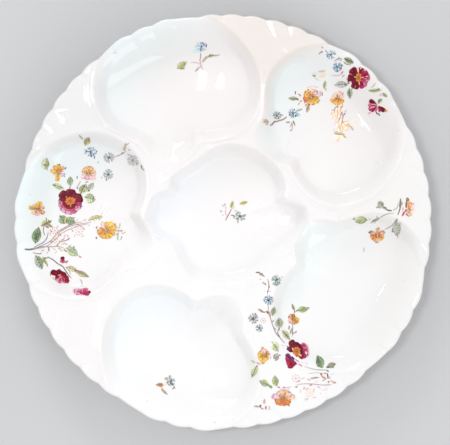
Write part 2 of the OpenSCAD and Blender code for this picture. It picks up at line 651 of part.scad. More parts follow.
module right_spray_leaves() {
    color("darkseagreen")
        leaves(right_leaf_shares);
}

module right_spray_stems() {
    color("rosybrown")
        stems(right_stem_shares);
}

module lower_spray_roses() {
    color("crimson")
        blossoms(lower_rose_shares);
}

module lower_spray_orange_blossoms() {
    color("orange")
        blossoms(lower_orange_shares);
}

module lower_spray_blue_florets() {
    color("lightsteelblue")
        blossoms(lower_blue_shares);
}

module lower_spray_leaves() {
    color("darkseagreen")
        leaves(lower_leaf_shares);
}

module lower_spray_tan_leaves() {
    color("tan")
        leaves(lower_tan_shares);
}

module lower_spray_stems() {
    color("rosybrown")
        stems(lower_stem_shares);
}

module lower_spray_berries() {
    color("pink")
        berries(lower_berry_shares);
}

module top_sprig_floret() {
    color("lightsteelblue")
        blossoms(top_blue_shares);
}

module top_sprig_leaves() {
    color("darkseagreen")
        leaves(top_leaf_shares);
}

module top_sprig_stems() {
    color("rosybrown")
        stems(top_stem_shares);
}

module middle_sprig_florets() {
    color("lightsteelblue")
        blossoms(middle_blue_shares);
}

module middle_sprig_leaves() {
    color("darkseagreen")
        leaves(middle_leaf_shares);
}

module middle_sprig_stems() {
    color("rosybrown")
        stems(middle_stem_shares);
}

module low_sprig_floret() {
    color("lightsteelblue")
        blossoms(low_blue_shares);
}

module low_sprig_leaves() {
    color("tan")
        leaves(low_leaf_shares);
}

plate_body();
foot_ring();
left_spray_roses();
left_spray_orange_blossoms();
left_spray_blue_florets();
left_spray_leaves();
left_spray_olive_leaves();
left_spray_stems();
left_spray_berries();
upper_spray_roses();
upper_spray_orange_blossoms();
upper_spray_blue_florets();
upper_spray_leaves();
upper_spray_tips();
upper_spray_stems();
right_spray_orange_blossoms();
right_spray_leaves();
right_spray_stems();
lower_spray_roses();
lower_spray_orange_blossoms();
lower_spray_blue_florets();
lower_spray_leaves();
lower_spray_tan_leaves();
lower_spray_stems();
lower_spray_berries();
top_sprig_floret();
top_sprig_leaves();
top_sprig_stems();
middle_sprig_florets();
middle_sprig_leaves();
middle_sprig_stems();
low_sprig_floret();
low_sprig_leaves();
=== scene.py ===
"""Oyster plate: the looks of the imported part, in its own frame, metres, +Z up.

The glazed body is one height field. Its main form follows the same sizes as the model: a base that rises
with the square of the radius, five shell wells and a sauce well sunk into it by an eased wall and a dish,
and a rounded lip outside each crest. On top of that comes the moulded ornament: a bead beside the lip,
grooves where two scallops of the edge meet, and ridges along curls and ribs.
The flowers are thin strokes and pads of enamel laid on that surface, painted petal by petal.
"""

import math

import bpy
import numpy as np
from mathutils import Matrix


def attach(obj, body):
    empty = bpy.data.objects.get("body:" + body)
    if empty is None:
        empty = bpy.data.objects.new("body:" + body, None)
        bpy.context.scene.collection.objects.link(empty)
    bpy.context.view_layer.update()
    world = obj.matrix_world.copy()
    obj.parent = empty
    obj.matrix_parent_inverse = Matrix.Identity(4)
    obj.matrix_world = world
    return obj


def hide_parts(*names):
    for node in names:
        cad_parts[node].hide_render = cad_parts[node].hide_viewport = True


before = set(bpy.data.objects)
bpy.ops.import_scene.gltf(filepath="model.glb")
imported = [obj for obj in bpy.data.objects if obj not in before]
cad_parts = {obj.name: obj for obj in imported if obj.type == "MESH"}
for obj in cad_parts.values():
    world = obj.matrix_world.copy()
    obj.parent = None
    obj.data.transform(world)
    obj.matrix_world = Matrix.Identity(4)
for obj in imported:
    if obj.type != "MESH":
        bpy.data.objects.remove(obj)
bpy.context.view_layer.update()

mm = 0.001
rng = np.random.default_rng(7)

# Sizes of the plate in millimetres, as the model has them
plate_d = 225.0
rim_h = 22.0
ridge_h = 17.5
wall = 4.0
edge_t = 3.4
edge_round = 1.3
shell_scallop = 1.7
web_scallop = 0.9
well_ring_r = 73.0
well_r = 45.0
well_wall_w = 7.0
rim_slope_w = 19.0
lip_h = 0.7
lip_w = 1.8
sauce_r = 43.0
sauce_wall_w = 7.0
foot_d = 124.0
foot_h = 4.5
foot_top_w = 6.0
seat_margin = 0.8
plate_r = plate_d / 2
foot_r = foot_d / 2
floor_z = foot_h + wall

# The five shells: the angles of their scalloped edges and of their wells, and the wells' own sizes.
# The shares of the radii are taken at even steps of the angle, from the well's own direction on.
shells = 5
shell_angles = np.array([45.5, 113.5, 182.5, 257, 331.5])
well_angles = np.array([43, 109.5, 177.5, 252.5, 331.5])
well_sizes = np.array([0.98, 1, 1, 1, 1.03])
well_turn = 3.5
well_shares = np.array([
    1.12, 1.10, 1.06, 1.04, 1.04, 1.01, 0.94, 0.82, 0.75, 0.83, 0.86, 0.74,
    0.61, 0.69, 0.80, 0.90, 0.96, 0.99, 1.00, 0.99, 0.99, 1.01, 1.05, 1.09])
sauce_shares = np.array([
    1.07, 1.05, 0.84, 0.91, 0.96, 0.98, 1.00, 1.00, 1.00, 0.98, 0.94, 0.89,
    0.86, 0.87, 0.89, 0.84, 0.97, 1.01, 1.02, 0.92, 0.76, 0.74, 0.77, 0.81,
    0.84, 0.81, 0.80, 0.80, 0.80, 0.80, 0.80, 0.79, 0.79, 0.84, 0.92, 1.02])
# Every shell's hinge: its angle on the well, half its spread, and how many times wider the wall is there
hinge_angle = 146
hinge_half = 28
hinge_wall_share = 2.2
# The share of a well's depth that its wall takes, and its dish the rest
steep_share = 0.5
# Stretches of the edge in one sector: where they start, as shares of it from a shell's middle to the next.
# Their kinds are 0 for a step between two sizes, 1 for a small scallop and 2 for a large one.
scallop_shares = np.array([-0.139, -0.046, 0.046, 0.139, 0.208, 0.300, 0.392, 0.483, 0.575, 0.667, 0.758])
scallop_kinds = np.array([2, 2, 2, 0, 1, 1, 1, 1, 1, 1, 0])
cusp_share = 0.45
# The finely drawn scallops stay this far inside the model's own edge
edge_inset = 0.14

# Grooves where two scallops meet: how deep, and how far in they run by the kind of stretch
groove_depth = 0.6
groove_reach = np.array([3.5, 4.5, 7.0])
# The fine bead outside each lip
bead_at = 3.7
sauce_bead_at = 2.6
bead_w = 0.75
bead_h = 0.16
# Curls and ribs: how high, how wide, and how much lower at their ends
curl_h = 0.34
rib_h = 0.12
curl_w = 0.62
ridge_fade = 0.7
# A curl winds through this angle, down to this share of its size
curl_sweep = 470
curl_end_share = 0.22
# All ornament fades out over this width of the edge
ornament_fade_w = 8

# One square of the grid that the curls, the ribs and the flowers are placed on
grid_n = 208
square = plate_r / grid_n
# Curls: middle, size, the angle they start at, and which way they wind
curls = [
    (-34.5, 79.4, 6.5, 200, 1), (-104.5, 91.4, 5.5, 40, -1), (67.5, 74.4, 6.5, 120, 1),
    (46.5, 111.4, 5.5, 300, -1), (84.5, -41, 8, 60, 1), (120.5, 4.4, 5.5, 220, -1),
    (-81.5, -3.6, 6.5, 20, 1), (-114.5, -53.6, 5.5, 150, -1), (-6.5, -88.6, 6.5, 320, 1),
    (12.5, -113.6, 5.5, 60, -1), (17, 173.4, 6, 250, 1), (158.5, 59.4, 5, 180, -1)]
# Ribs, as lines through points
ribs = [
    [(60, 173), (67, 169), (73, 166)], [(58, 169), (65, 165.5), (71, 162)],
    [(-132, 136), (-130.5, 127), (-131, 118)], [(-128, 137), (-127, 128), (-128, 119)],
    [(40, 201), (52, 195), (60, 186)], [(47, 200), (60, 192), (69, 182)], [(55, 198), (68, 188), (77, 178)],
    [(176, 81), (184, 66), (187, 50)], [(181, 84), (190, 68), (193, 52)], [(170, 79), (177, 65), (180, 50)],
    [(-164, 92), (-146, 93.5), (-128, 91), (-108, 86)], [(-100, -55.5), (-86, -50), (-75, -39)],
    [(41, -15), (55, -16.5), (66, -20), (74, -27)], [(-28, 97), (-14, 92), (0, 85)],
    [(-122, -100), (-124, -114), (-121, -128)], [(-127, -102), (-129, -116), (-126, -130)],
    [(-84, -168), (-72, -178), (-60, -186)], [(176, -88), (172, -102), (165, -114)]]

# The body's mesh: the points on a border between two wells, on the crest in each sector, and on each
# stretch of the edge
side_per = 24
crest_per = 56
scallop_steps = 4 * np.array([3, 3, 3, 2, 3, 3, 3, 3, 3, 3, 3])
# A border meets the edge at the end of this many stretches, after a straight run from the crest
border_stretches = 7
border_straight_share = 0.4
# Its rings: how far outside the lips, how many round the edge, and where they lie underneath, as shares of
# the plate's radius down to the foot ring and of the seat's inner radius from there to the middle
outer_widths = (0.35, 0.7, 1.1, 1.5, 2.0, 2.7, 3.2, 3.7, 4.3, 5.2)
round_rings = 9
under_shares = (0.985, 0.965, 0.94, 0.915, 0.89, 0.865, 0.84, 0.81, 0.78, 0.75, 0.715)
seat_shares = (1, 0.95, 0.9, 0.84, 0.78, 0.71, 0.64, 0.56, 0.48, 0.4, 0.3, 0.2, 0.1)
# The step over which the top's slopes are measured
slope_step = 0.04

# Half of the foot ring's section, from its luted top to its bare rest: half widths and heights.
# Edges of the foot that turn by more than the crease angle stay sharp.
foot_around = 288
foot_section = [
    (foot_top_w / 2, foot_h + 0.3), (foot_top_w / 2, foot_h), (2.5, 3.7), (2.15, 2.6), (1.98, 1.5),
    (1.8, 0.7), (1.55, 0.22), (1.3, 0.02), (1.05, 0)]
foot_crease = 50


def closed_curve(shares, a):
    """A smooth closed curve through evenly turned shares, at angles a: a cubic through four neighbours."""
    n = len(shares)
    t = (a % 360) * n / 360
    i = np.floor(t).astype(int) % n
    f = t - np.floor(t)
    p, q, r, s = shares[(i - 1) % n], shares[i], shares[(i + 1) % n], shares[(i + 2) % n]
    return q + f * (r - p + f * (2 * p - 5 * q + 4 * r - s + f * (3 * (q - r) + s - p))) / 2


def smooth_line(points, n):
    """n points along a smooth curve through the given ones: a straight line, or the same cubic."""
    p = np.asarray(points, float)
    last = len(p) - 1
    t = np.linspace(0, last, n)
    if last == 1:
        return blend(p[0], p[1], t[:, None])
    i = np.minimum(t.astype(int), last - 1)
    f = (t - i)[:, None]
    a, b, c, d = p[np.maximum(i - 1, 0)], p[i], p[i + 1], p[np.minimum(i + 2, last)]
    return b + f * (c - a + f * (2 * a - 5 * b + 4 * c - d + f * (3 * (b - c) + d - a))) / 2


def blend(a, b, t):
    """From a to b by the share t."""
    return np.asarray(a) * (1 - t) + np.asarray(b) * t


def ease(t):
    """From 0 to 1 with a level start and end."""
    c = np.clip(t, 0, 1)
    return c * c * (3 - 2 * c)


def apart(a, b):
    """Angle a as seen from b, between -180 and 180."""
    return (a - b + 180) % 360 - 180


def window(a, b, half):
    """1 at angle b, falling to 0 half degrees away as a squared cosine."""
    c = np.minimum(np.abs(apart(a, b)), half)
    return np.cos(np.radians(90 * c / half)) ** 2


def polar(r, a):
    """Points at radius r and angle a in degrees."""
    return np.stack([r * np.cos(np.radians(a)), r * np.sin(np.radians(a))], -1)


def bump(d, at, w, h):
    """A rounded ridge of height h, at a distance `at` along d."""
    return h * np.exp(-((d - at) / w) ** 2)


# The wells

well_mids = polar(well_ring_r, well_angles)


def base_z(r):
    """The base rises from the ridge to the rim with the square of the radius."""
    return ridge_h + (rim_h - ridge_h) * (r / plate_r) ** 2


def well_edge(k, a):
    """Well k's radius from its own middle, at angles a."""
    return well_r * well_sizes[k] * closed_curve(well_shares, a - well_angles[k] - well_turn)


def well_at(k, x, y):
    """How far outside well k's outline, its radius there, and the angle on the well."""
    vx, vy = x - well_mids[k, 0], y - well_mids[k, 1]
    a = np.degrees(np.arctan2(vy, vx))
    r = well_edge(k, a)
    return np.hypot(vx, vy) - r, r, a - well_angles[k] - well_turn


def sauce_at(x, y):
    """How far outside the sauce well's outline, and its radius there."""
    r = sauce_r * closed_curve(sauce_shares, np.degrees(np.arctan2(y, x)))
    return np.hypot(x, y) - r, r


def well_wall(t):
    """The width of a well's wall: wider by the hinge of the shell."""
    return well_wall_w * (1 + (hinge_wall_share - 1) * window(t, hinge_angle, hinge_half))


def sunk(s, r, w):
    """Depth of a well as a share of its full depth, s inside its outline: a steep wall and a dish."""
    dish = 1 - (1 - np.clip(s / r, 0, 1)) ** 2
    return np.where(s <= 0, 0, steep_share * ease(s / w) + (1 - steep_share) * dish)


# The edge: every stretch of it in order of its angle, and what kind it is

sector_gaps = (np.roll(shell_angles, -1) - shell_angles) % 360
stretch_starts = (shell_angles[:, None] + sector_gaps[:, None] * scallop_shares).ravel()
stretch_kinds = np.tile(scallop_kinds, shells)
first_angle = stretch_starts[0]
stretch_ends = np.append(stretch_starts[1:], first_angle + 360)


def level_of(kind):
    """How far out a stretch of this kind starts and ends."""
    return np.where(kind == 2, cusp_share * shell_scallop, -web_scallop)


def edge_stretch(a):
    """The stretch of the edge at angles a, and how far along it."""
    turned = first_angle + (a - first_angle) % 360
    j = np.clip(np.searchsorted(stretch_starts, turned, side="right") - 1, 0, len(stretch_starts) - 1)
    t = (turned - stretch_starts[j]) / (stretch_ends[j] - stretch_starts[j])
    return j, np.clip(t, 0, 1)


def edge_out(a):
    """How far the edge stands out: half waves for scallops, and a plain step between the two sizes."""
    j, t = edge_stretch(a)
    kind = stretch_kinds[j]
    wave = np.sin(np.pi * t)
    before = level_of(np.roll(stretch_kinds, 1)[j])
    after = level_of(np.roll(stretch_kinds, -1)[j])
    large = shell_scallop * (cusp_share + (1 - cusp_share) * wave)
    small = web_scallop * (wave - 1)
    return np.where(kind == 2, large, np.where(kind == 1, small, before + (after - before) * t)) - edge_inset


def ridge_lines():
    """Each ridge as its points in millimetres and its height. A curl's radius shrinks evenly as it winds."""
    t = np.linspace(0, 1, 48)
    lines = []
    for x, y, size, start, way in curls:
        curl = polar(size * (1 - (1 - curl_end_share) * t), start + way * curl_sweep * t)
        lines.append(((np.array([x, y]) + curl) * square, curl_h))
    for rib in ribs:
        lines.append((smooth_line(rib, 40) * square, rib_h))
    return lines


ridges = ridge_lines()


def near_ridges(x, y):
    """Height of the curls and ribs: a rounded ridge by the distance to the nearest point of a line."""
    h = np.zeros(x.shape)
    for points, high in ridges:
        mid = points.mean(0)
        reach = np.hypot(*(points - mid).T).max() + 3 * curl_w
        near = np.hypot(x - mid[0], y - mid[1]) < reach
        if near.any():
            d = np.hypot(x[near][:, None] - points[:, 0], y[near][:, None] - points[:, 1])
            fade = 1 - ridge_fade * d.argmin(1) / (len(points) - 1)
            h[near] = np.maximum(h[near], high * fade * np.exp(-(d.min(1) / curl_w) ** 2))
    return h


def glaze_z(x, y):
    """Height of the glazed top with its ornament, in millimetres."""
    r = np.hypot(x, y)
    d, sr = sauce_at(x, y)
    depth = sunk(-d, sr, sauce_wall_w)
    lips = bump(d, 0, lip_w, lip_h)
    beads = bump(d, sauce_bead_at, bead_w, bead_h)
    slope = ease((plate_r - r) / rim_slope_w)
    for k in range(shells):
        d, wr, t = well_at(k, x, y)
        off_hinge = 1 - window(t, hinge_angle, hinge_half)
        depth = np.maximum(depth, sunk(-d, wr, well_wall(t)) * slope)
        lips = np.maximum(lips, bump(d, lip_w / 2, lip_w, lip_h) * off_hinge)
        beads = np.maximum(beads, bump(d, bead_at, bead_w, bead_h))
    b = base_z(r) + lips
    a = np.degrees(np.arctan2(y, x))
    j, t = edge_stretch(a)
    inward = np.maximum(plate_r + edge_out(a) - r, 0)
    groove = (1 - np.sin(np.pi * t)) ** 2 * np.exp(-(inward / groove_reach[stretch_kinds[j]]) ** 2)
    ornament = (beads * (1 - depth) + near_ridges(x, y)) * ease((plate_r - r) / ornament_fade_w)
    return b - (b - floor_z) * depth + ornament - groove_depth * groove


def under_z(x, y):
    """The underside follows the top a wall lower, and is flat where the foot ring is luted on."""
    r = np.hypot(x, y)
    d, sr = sauce_at(x, y)
    depth = sunk(wall - d, sr + wall, sauce_wall_w + wall / 2)
    slope = ease((plate_r - r) / rim_slope_w)
    for k in range(shells):
        d, wr, t = well_at(k, x, y)
        depth = np.maximum(depth, slope * sunk(wall - d, wr + wall, well_wall(t) + wall / 2))
    b = base_z(r) - wall
    seat = foot_h + np.maximum(0, np.abs(r - foot_r) - foot_top_w / 2 - seat_margin)
    return np.minimum(b - (b - foot_h) * depth, seat)


# The body's mesh: patches of rings round the wells' middles and the plate's middle

edge_per = int(scallop_steps.sum())
edge_n = shells * edge_per
crest_n = shells * crest_per
border_at = int(scallop_steps[:border_stretches].sum())
edge_angles = np.concatenate([
    start + (end - start) * np.arange(n) / n
    for start, end, n in zip(stretch_starts, stretch_ends, np.tile(scallop_steps, shells))])
edge_radii = plate_r + edge_out(edge_angles)


def ring_shares(n, power):
    """n shares from near the middle out to 1, closer together near 1."""
    return 1 - (1 - np.linspace(0, 1, n + 1)[1:]) ** power


inner_shares = ring_shares(44, 1.3)
sauce_ring_shares = ring_shares(28, 1.25)[:-1]


def border_angle(k):
    """The angle half way between well k and the next."""
    a = well_angles[k % shells]
    return a + apart(well_angles[(k + 1) % shells], a) / 2


def crest_points():
    """The sauce well's outline, in even steps of angle from each border to the next."""
    starts = np.array([border_angle(k - 1) for k in range(shells)])
    gaps = np.array([apart(border_angle(k), start) for k, start in enumerate(starts)])
    a = (starts[:, None] + gaps[:, None] * np.arange(crest_per) / crest_per).ravel()
    return polar(sauce_r * closed_curve(sauce_shares, a), a)


def border_points(k, crest):
    """The border past well k, from the crest to the edge: straight out at first, then turned to its end."""
    t = np.arange(1, side_per) / side_per
    i = k * edge_per + border_at
    a = border_angle(k)
    turn = apart(edge_angles[i], a) * ease((t - border_straight_share) / (1 - border_straight_share))
    r0 = math.hypot(*crest[((k + 1) % shells) * crest_per])
    return polar(r0 + (edge_radii[i] - edge_round - r0) * t, a + turn)


def tris_between(a, b):
    """Triangles between an inner ring a and an outer ring b of the same length, facing up."""
    a2, b2 = np.roll(a, -1), np.roll(b, -1)
    return np.concatenate([np.stack([a, b, b2], 1), np.stack([a, b2, a2], 1)])


def fan(c, a):
    """Triangles from the point c to the ring a round it."""
    return np.stack([np.full(len(a), c), a, np.roll(a, -1)], 1)


class Net:
    """Points gathered ring by ring, and the triangles that tie each ring to the one before."""

    def __init__(self, points):
        self.rows = [points]
        self.tris = []
        self.count = len(points)

    def ring(self, points, last=()):
        """Adds a ring, tied to the last one, or fanned out from it where that is a single point."""
        now = self.count + np.arange(len(points))
        self.rows.append(points)
        self.count += len(points)
        if len(last):
            self.tris.append(fan(last[0], now) if len(last) == 1 else tris_between(last, now))
        return now


def open_top():
    """The top seen from above, as a net of x and y.

    Rings run out from each well's middle: shares of its outline, and then widths outside its lip, up to the
    points that it shares with the edge, the crest and the two borders. The sauce well's rings are shares of
    the crest.
    """
    crest = crest_points()
    edge = polar(edge_radii - edge_round, edge_angles)
    shared = np.concatenate([edge, crest] + [border_points(k, crest) for k in range(shells)])
    net = Net(shared)
    borders = edge_n + crest_n

    def side(k, j):
        """The numbers of the points j of the border past well k."""
        return borders + (k % shells) * (side_per - 1) + j - 1

    for k in range(shells):
        around = np.concatenate([
            (k * edge_per - (edge_per - border_at) + np.arange(edge_per + 1)) % edge_n,
            side(k, np.arange(side_per - 1, 0, -1)),
            edge_n + ((k + 1) * crest_per - np.arange(crest_per + 1)) % crest_n,
            side(k - 1, np.arange(1, side_per))])
        v = shared[around] - well_mids[k]
        reach = np.hypot(*v.T)
        unit = v / reach[:, None]
        lip = np.minimum(well_edge(k, np.degrees(np.arctan2(v[:, 1], v[:, 0]))), reach - lip_w / 2)
        last = net.ring(well_mids[k][None])
        for s in inner_shares:
            last = net.ring(well_mids[k] + unit * (lip * s)[:, None], last)
        for j, out in enumerate(outer_widths):
            r = lip + np.minimum(out, (reach - lip) * (j + 1) / (len(outer_widths) + 1))
            last = net.ring(well_mids[k] + unit * r[:, None], last)
        net.tris.append(tris_between(last, around))
    last = net.ring(np.zeros((1, 2)))
    for s in sauce_ring_shares:
        last = net.ring(s * crest, last)
    net.tris.append(tris_between(last, edge_n + np.arange(crest_n)))
    return net


def body_mesh():
    """The whole body: its top, its rounded edge as half an ellipse, and its underside down to the middle."""
    net = open_top()
    x, y = np.concatenate(net.rows).T
    top = np.column_stack([x, y, glaze_z(x, y)])
    dx = (glaze_z(x + slope_step, y) - glaze_z(x - slope_step, y)) / (2 * slope_step)
    dy = (glaze_z(x, y + slope_step) - glaze_z(x, y - slope_step)) / (2 * slope_step)
    slopes = np.column_stack([-dx, -dy, np.ones(len(x))])
    net.rows = [top]
    high = top[:edge_n, 2]
    low = base_z(edge_radii) - edge_t
    last = np.arange(edge_n)
    for phi in np.radians(np.linspace(0, 180, round_rings + 1)[1:]):
        r = edge_radii - edge_round * (1 - math.sin(phi))
        z = (high + low) / 2 + (high - low) / 2 * math.cos(phi)
        last = net.ring(np.column_stack([polar(r, edge_angles), z]), last)

    def under(r, angles):
        """A ring of the underside."""
        p = polar(r, angles)
        return np.column_stack([p, under_z(p[:, 0], p[:, 1])])

    for s in under_shares:
        last = net.ring(under(edge_radii * s, edge_angles), last)
    # From the full ring to one of half as many points, just outside the foot ring's seat
    seat_half = foot_top_w / 2 + seat_margin
    half_angles = edge_angles[::2]
    a, b, c = last[::2], last[1::2], np.roll(last[::2], -1)
    last = net.ring(under(foot_r + seat_half, half_angles))
    after = np.roll(last, -1)
    net.tris += [np.stack(corners, 1) for corners in ((a, last, b), (b, last, after), (b, after, c))]
    for s in seat_shares:
        last = net.ring(under((foot_r - seat_half) * s, half_angles), last)
    middle = net.ring(under(0, np.zeros(1)))
    net.tris.append(fan(middle[0], last)[:, [0, 2, 1]])
    points = np.concatenate(net.rows)
    tris = np.concatenate(net.tris)
    # Smooth normals: from the faces, and from the height field's own slopes on the open top
    corner, second, third = (points[tris[:, c]] for c in range(3))
    face = np.cross(second - corner, third - corner)
    normals = np.zeros(points.shape)
    for c in range(3):
        np.add.at(normals, tris[:, c], face)
    normals[edge_n:len(top)] = slopes[edge_n:]
    normals /= np.linalg.norm(normals, axis=1)[:, None]
    return points, tris, normals


def foot_mesh():
    """The foot ring as a lathe form: a flared, rounded section, turned about the plate's axis."""
    section = foot_section + [(-x, z) for x, z in reversed(foot_section)]
    a = np.arange(foot_around) * 360 / foot_around
    rows = [np.column_stack([polar(foot_r + x, a), np.full(foot_around, z)]) for x, z in section]
    rings = np.arange(len(section) * foot_around).reshape(len(section), foot_around)
    tris = [tris_between(outer, inner)[:, ::-1] for inner, outer in zip(rings, np.roll(rings, -1, 0))]
    return np.concatenate(rows), np.concatenate(tris)


# The glaze's tints and its painted shade

def tone(r, g, b):
    """A display colour as a linear one."""
    c = np.array([r, g, b], float) / 255
    return np.where(c <= 0.04045, c / 12.92, ((c + 0.055) / 1.055) ** 2.4)


warm_white = tone(247, 245, 245)
# Painted shade for the top of the plate, and for its right, which it darkens a little
top_shade = tone(241, 236, 235)
right_shade = tone(249, 249, 248)
# Pale blue painted shade: one for the sauce well's left side, and one for each well's upper-left walls
sauce_shade_blue = tone(245, 247, 250)
well_shade_blues = [
    tone(237, 242, 242), tone(234, 240, 241), tone(236, 245, 246), tone(246, 250, 252), tone(244, 249, 250)]
# The webs' darker, warmer painted shade: the angle of each and its colour
web_painted_shades = [
    (75, tone(236, 228, 222)), (150, tone(234, 233, 233)), (220, tone(244, 241, 240)),
    (10, tone(242, 240, 239))]
# Blue pools of painted shade fade in over this width of the wells, on the side that faces an angle. Each
# pool has that angle, half of its spread, and the shares of the radius where it starts and over which it
# grows.
well_fade_w = 5
well_shade_pool = (140, 115, 0.1, 0.7)
sauce_shade_pool = (160, 110, 0.2, 0.7)
web_shade_pool = (60, 0.45, 0.4)
web_shade_share = 0.9
# Painted shade: the top of the plate is darker and rosier, and its right a little darker: where each starts,
# and over which width
top_shade_run = (-40, 130)
right_shade_run = (40, 55)


def shade_pool_weight(a, share, at, half, start, run):
    """How strong a pool of painted shade is at angle a and share of the radius: a window of the angle times
    an eased run.
    """
    return window(a, at, half) * ease((share - start) / run)


def glaze_tint_and_shade_of(p):
    """The glaze's colour: blue pools of painted shade inside the wells' upper-left walls, cream and pink
    elsewhere, and painted shade that darkens the top, the right and the webs.

    Each shade is blended in by eased runs of the place and by its pool.
    """
    x, y = p[:, :1], p[:, 1:2]
    r = np.hypot(x, y)
    a = np.degrees(np.arctan2(y, x))
    # Painted shade: darker and rosier towards the top, a little darker towards the right
    colour = blend(warm_white, top_shade, ease((y - top_shade_run[0]) / top_shade_run[1]))
    colour = blend(colour, colour * right_shade, ease((x - right_shade_run[0]) / right_shade_run[1]))
    in_wells = np.zeros(x.shape)
    # Pools of pale blue painted shade inside each well's upper-left walls, then inside the sauce well
    for k in range(shells):
        d, wr, t = well_at(k, x, y)
        inside = ease(-d / well_fade_w)
        in_wells = np.maximum(in_wells, inside)
        way = np.degrees(np.arctan2(y - well_mids[k, 1], x - well_mids[k, 0]))
        colour = blend(colour, well_shade_blues[k], inside * shade_pool_weight(way, d / wr + 1, *well_shade_pool))
    d, sr = sauce_at(x, y)
    inside = ease(-d / well_fade_w)
    in_wells = np.maximum(in_wells, inside)
    colour = blend(colour, sauce_shade_blue, inside * shade_pool_weight(a, r / sr, *sauce_shade_pool))
    # Darker, warmer painted shade on the webs outside the wells, towards the edge
    for at, shade in web_painted_shades:
        colour = blend(colour, shade, web_shade_share * (1 - in_wells) * shade_pool_weight(a, r / plate_r, at, *web_shade_pool))
    return np.column_stack([colour, np.ones(len(x))])


# Materials

class Finish:
    """A material: patterns on Object coordinates, spread between two values, that feed its one shader."""

    def __init__(self, name):
        self.material = bpy.data.materials.new(name)
        self.material.use_nodes = True
        self.nodes = self.material.node_tree.nodes
        self.shader = next(n for n in self.nodes if n.type == "BSDF_PRINCIPLED")
        self.place = self.nodes.new("ShaderNodeTexCoord").outputs["Object"]

    def feed(self, socket, value):
        """Links a pattern to a socket, or sets a plain value."""
        if isinstance(value, bpy.types.NodeSocket):
            self.material.node_tree.links.new(value, socket)
        else:
            socket.default_value = value

    def add(self, kind, **inputs):
        """A new node, with its inputs fed by their names."""
        node = self.nodes.new(kind)
        for key, value in inputs.items():
            self.feed(node.inputs[key.replace("_", " ")], value)
        return node

    def noise(self, scale, detail, rough=0.5):
        """Noise by the place on the piece, from 0 to 1."""
        node = self.add("ShaderNodeTexNoise", Vector=self.place, Scale=scale, Detail=detail, Roughness=rough)
        return node.outputs["Fac"]

    def spread(self, scale, detail, low, high, out_low, out_high, rough=0.5):
        """Noise of a scale and detail, with its values from low to high spread from out_low to out_high."""
        node = self.add(
            "ShaderNodeMapRange", Value=self.noise(scale, detail, rough), From_Min=low, From_Max=high,
            To_Min=out_low, To_Max=out_high)
        return node.outputs["Result"]

    def mixed(self, blend_type, amount, a, b):
        """Two colours mixed by an amount."""
        node = self.nodes.new("ShaderNodeMix")
        node.data_type = "RGBA"
        node.blend_type = blend_type
        for i, value in ((0, amount), (6, a), (7, b)):
            self.feed(node.inputs[i], value)
        return node.outputs[2]

    def painted(self, name):
        """The colours kept on the mesh under a name."""
        node = self.nodes.new("ShaderNodeAttribute")
        node.attribute_name = name
        return node.outputs["Color"]

    def bump(self, scale, detail, strength, distance):
        """Leans the shader's normal by the slopes of a noise."""
        node = self.add(
            "ShaderNodeBump", Height=self.noise(scale, detail), Strength=strength, Distance=distance)
        self.feed(self.shader.inputs["Normal"], node.outputs["Normal"])

    def shade(self, **inputs):
        """Feeds the shader's own sockets."""
        for key, value in inputs.items():
            self.feed(self.shader.inputs[key.replace("_", " ")], value)


def glazed_porcelain():
    """Glazed porcelain: its tints with painted shade, faint clouds, pin-head specks and a soft orange peel.
    """
    finish = Finish("glazed_porcelain_fine")
    clouds = finish.spread(26, 3, 0.35, 0.65, 0, 1)
    colour = finish.mixed("MULTIPLY", clouds, finish.painted("glaze_tint_and_shade"), (0.985, 0.982, 0.975, 1))
    specks = finish.spread(1700, 1, 0.77, 0.80, 0, 0.5)
    finish.shade(
        Base_Color=finish.mixed("MIX", specks, colour, (0.62, 0.52, 0.42, 1)),
        Roughness=finish.spread(90, 4, 0.3, 0.7, 0.02, 0.05), IOR=1.52)
    finish.bump(320, 2, 0.06, 0.0002)
    return finish.material


def bare_porcelain():
    """The unglazed foot: warm white, matt, grainy, with grey rubbed patches."""
    finish = Finish("bare_porcelain_fine")
    rubbed = finish.spread(120, 4, 0.45, 0.7, 0, 0.6)
    colour = finish.mixed("MIX", rubbed, (0.80, 0.77, 0.71, 1), (0.55, 0.51, 0.46, 1))
    grain = finish.spread(2400, 1, 0.6, 0.72, 0, 0.5)
    finish.shade(
        Base_Color=finish.mixed("MIX", grain, colour, (0.36, 0.31, 0.26, 1)),
        Roughness=finish.spread(600, 3, 0.3, 0.7, 0.6, 0.85))
    finish.bump(1500, 3, 0.5, 0.0001)
    return finish.material


def painted_enamel(name, thin):
    """Painted enamel: its brushed colours, paler in streaks where it is thin, and soft in gloss."""
    finish = Finish(name + "_fine")
    streaks = finish.spread(900, 3, 0.42, 0.68, 0, thin, rough=0.6)
    colour = finish.mixed("MIX", streaks, finish.painted("paint"), (0.86, 0.83, 0.80, 1))
    dark = finish.spread(1500, 2, 0.5, 0.75, 0, 0.35)
    finish.shade(
        Base_Color=finish.mixed("MULTIPLY", dark, colour, (0.72, 0.66, 0.66, 1)),
        Roughness=finish.spread(700, 3, 0.3, 0.7, 0.2, 0.34), Specular_IOR_Level=0.2)
    finish.bump(1400, 3, 0.35, 0.0001)
    return finish.material


def pale_floor():
    """A matt pale ground with faint clouds."""
    finish = Finish("pale_floor")
    clouds = finish.spread(3, 3, 0.3, 0.7, 0, 1)
    finish.shade(
        Base_Color=finish.mixed("MIX", clouds, (0.58, 0.58, 0.585, 1), (0.62, 0.62, 0.625, 1)), Roughness=0.8)
    return finish.material


# Pieces

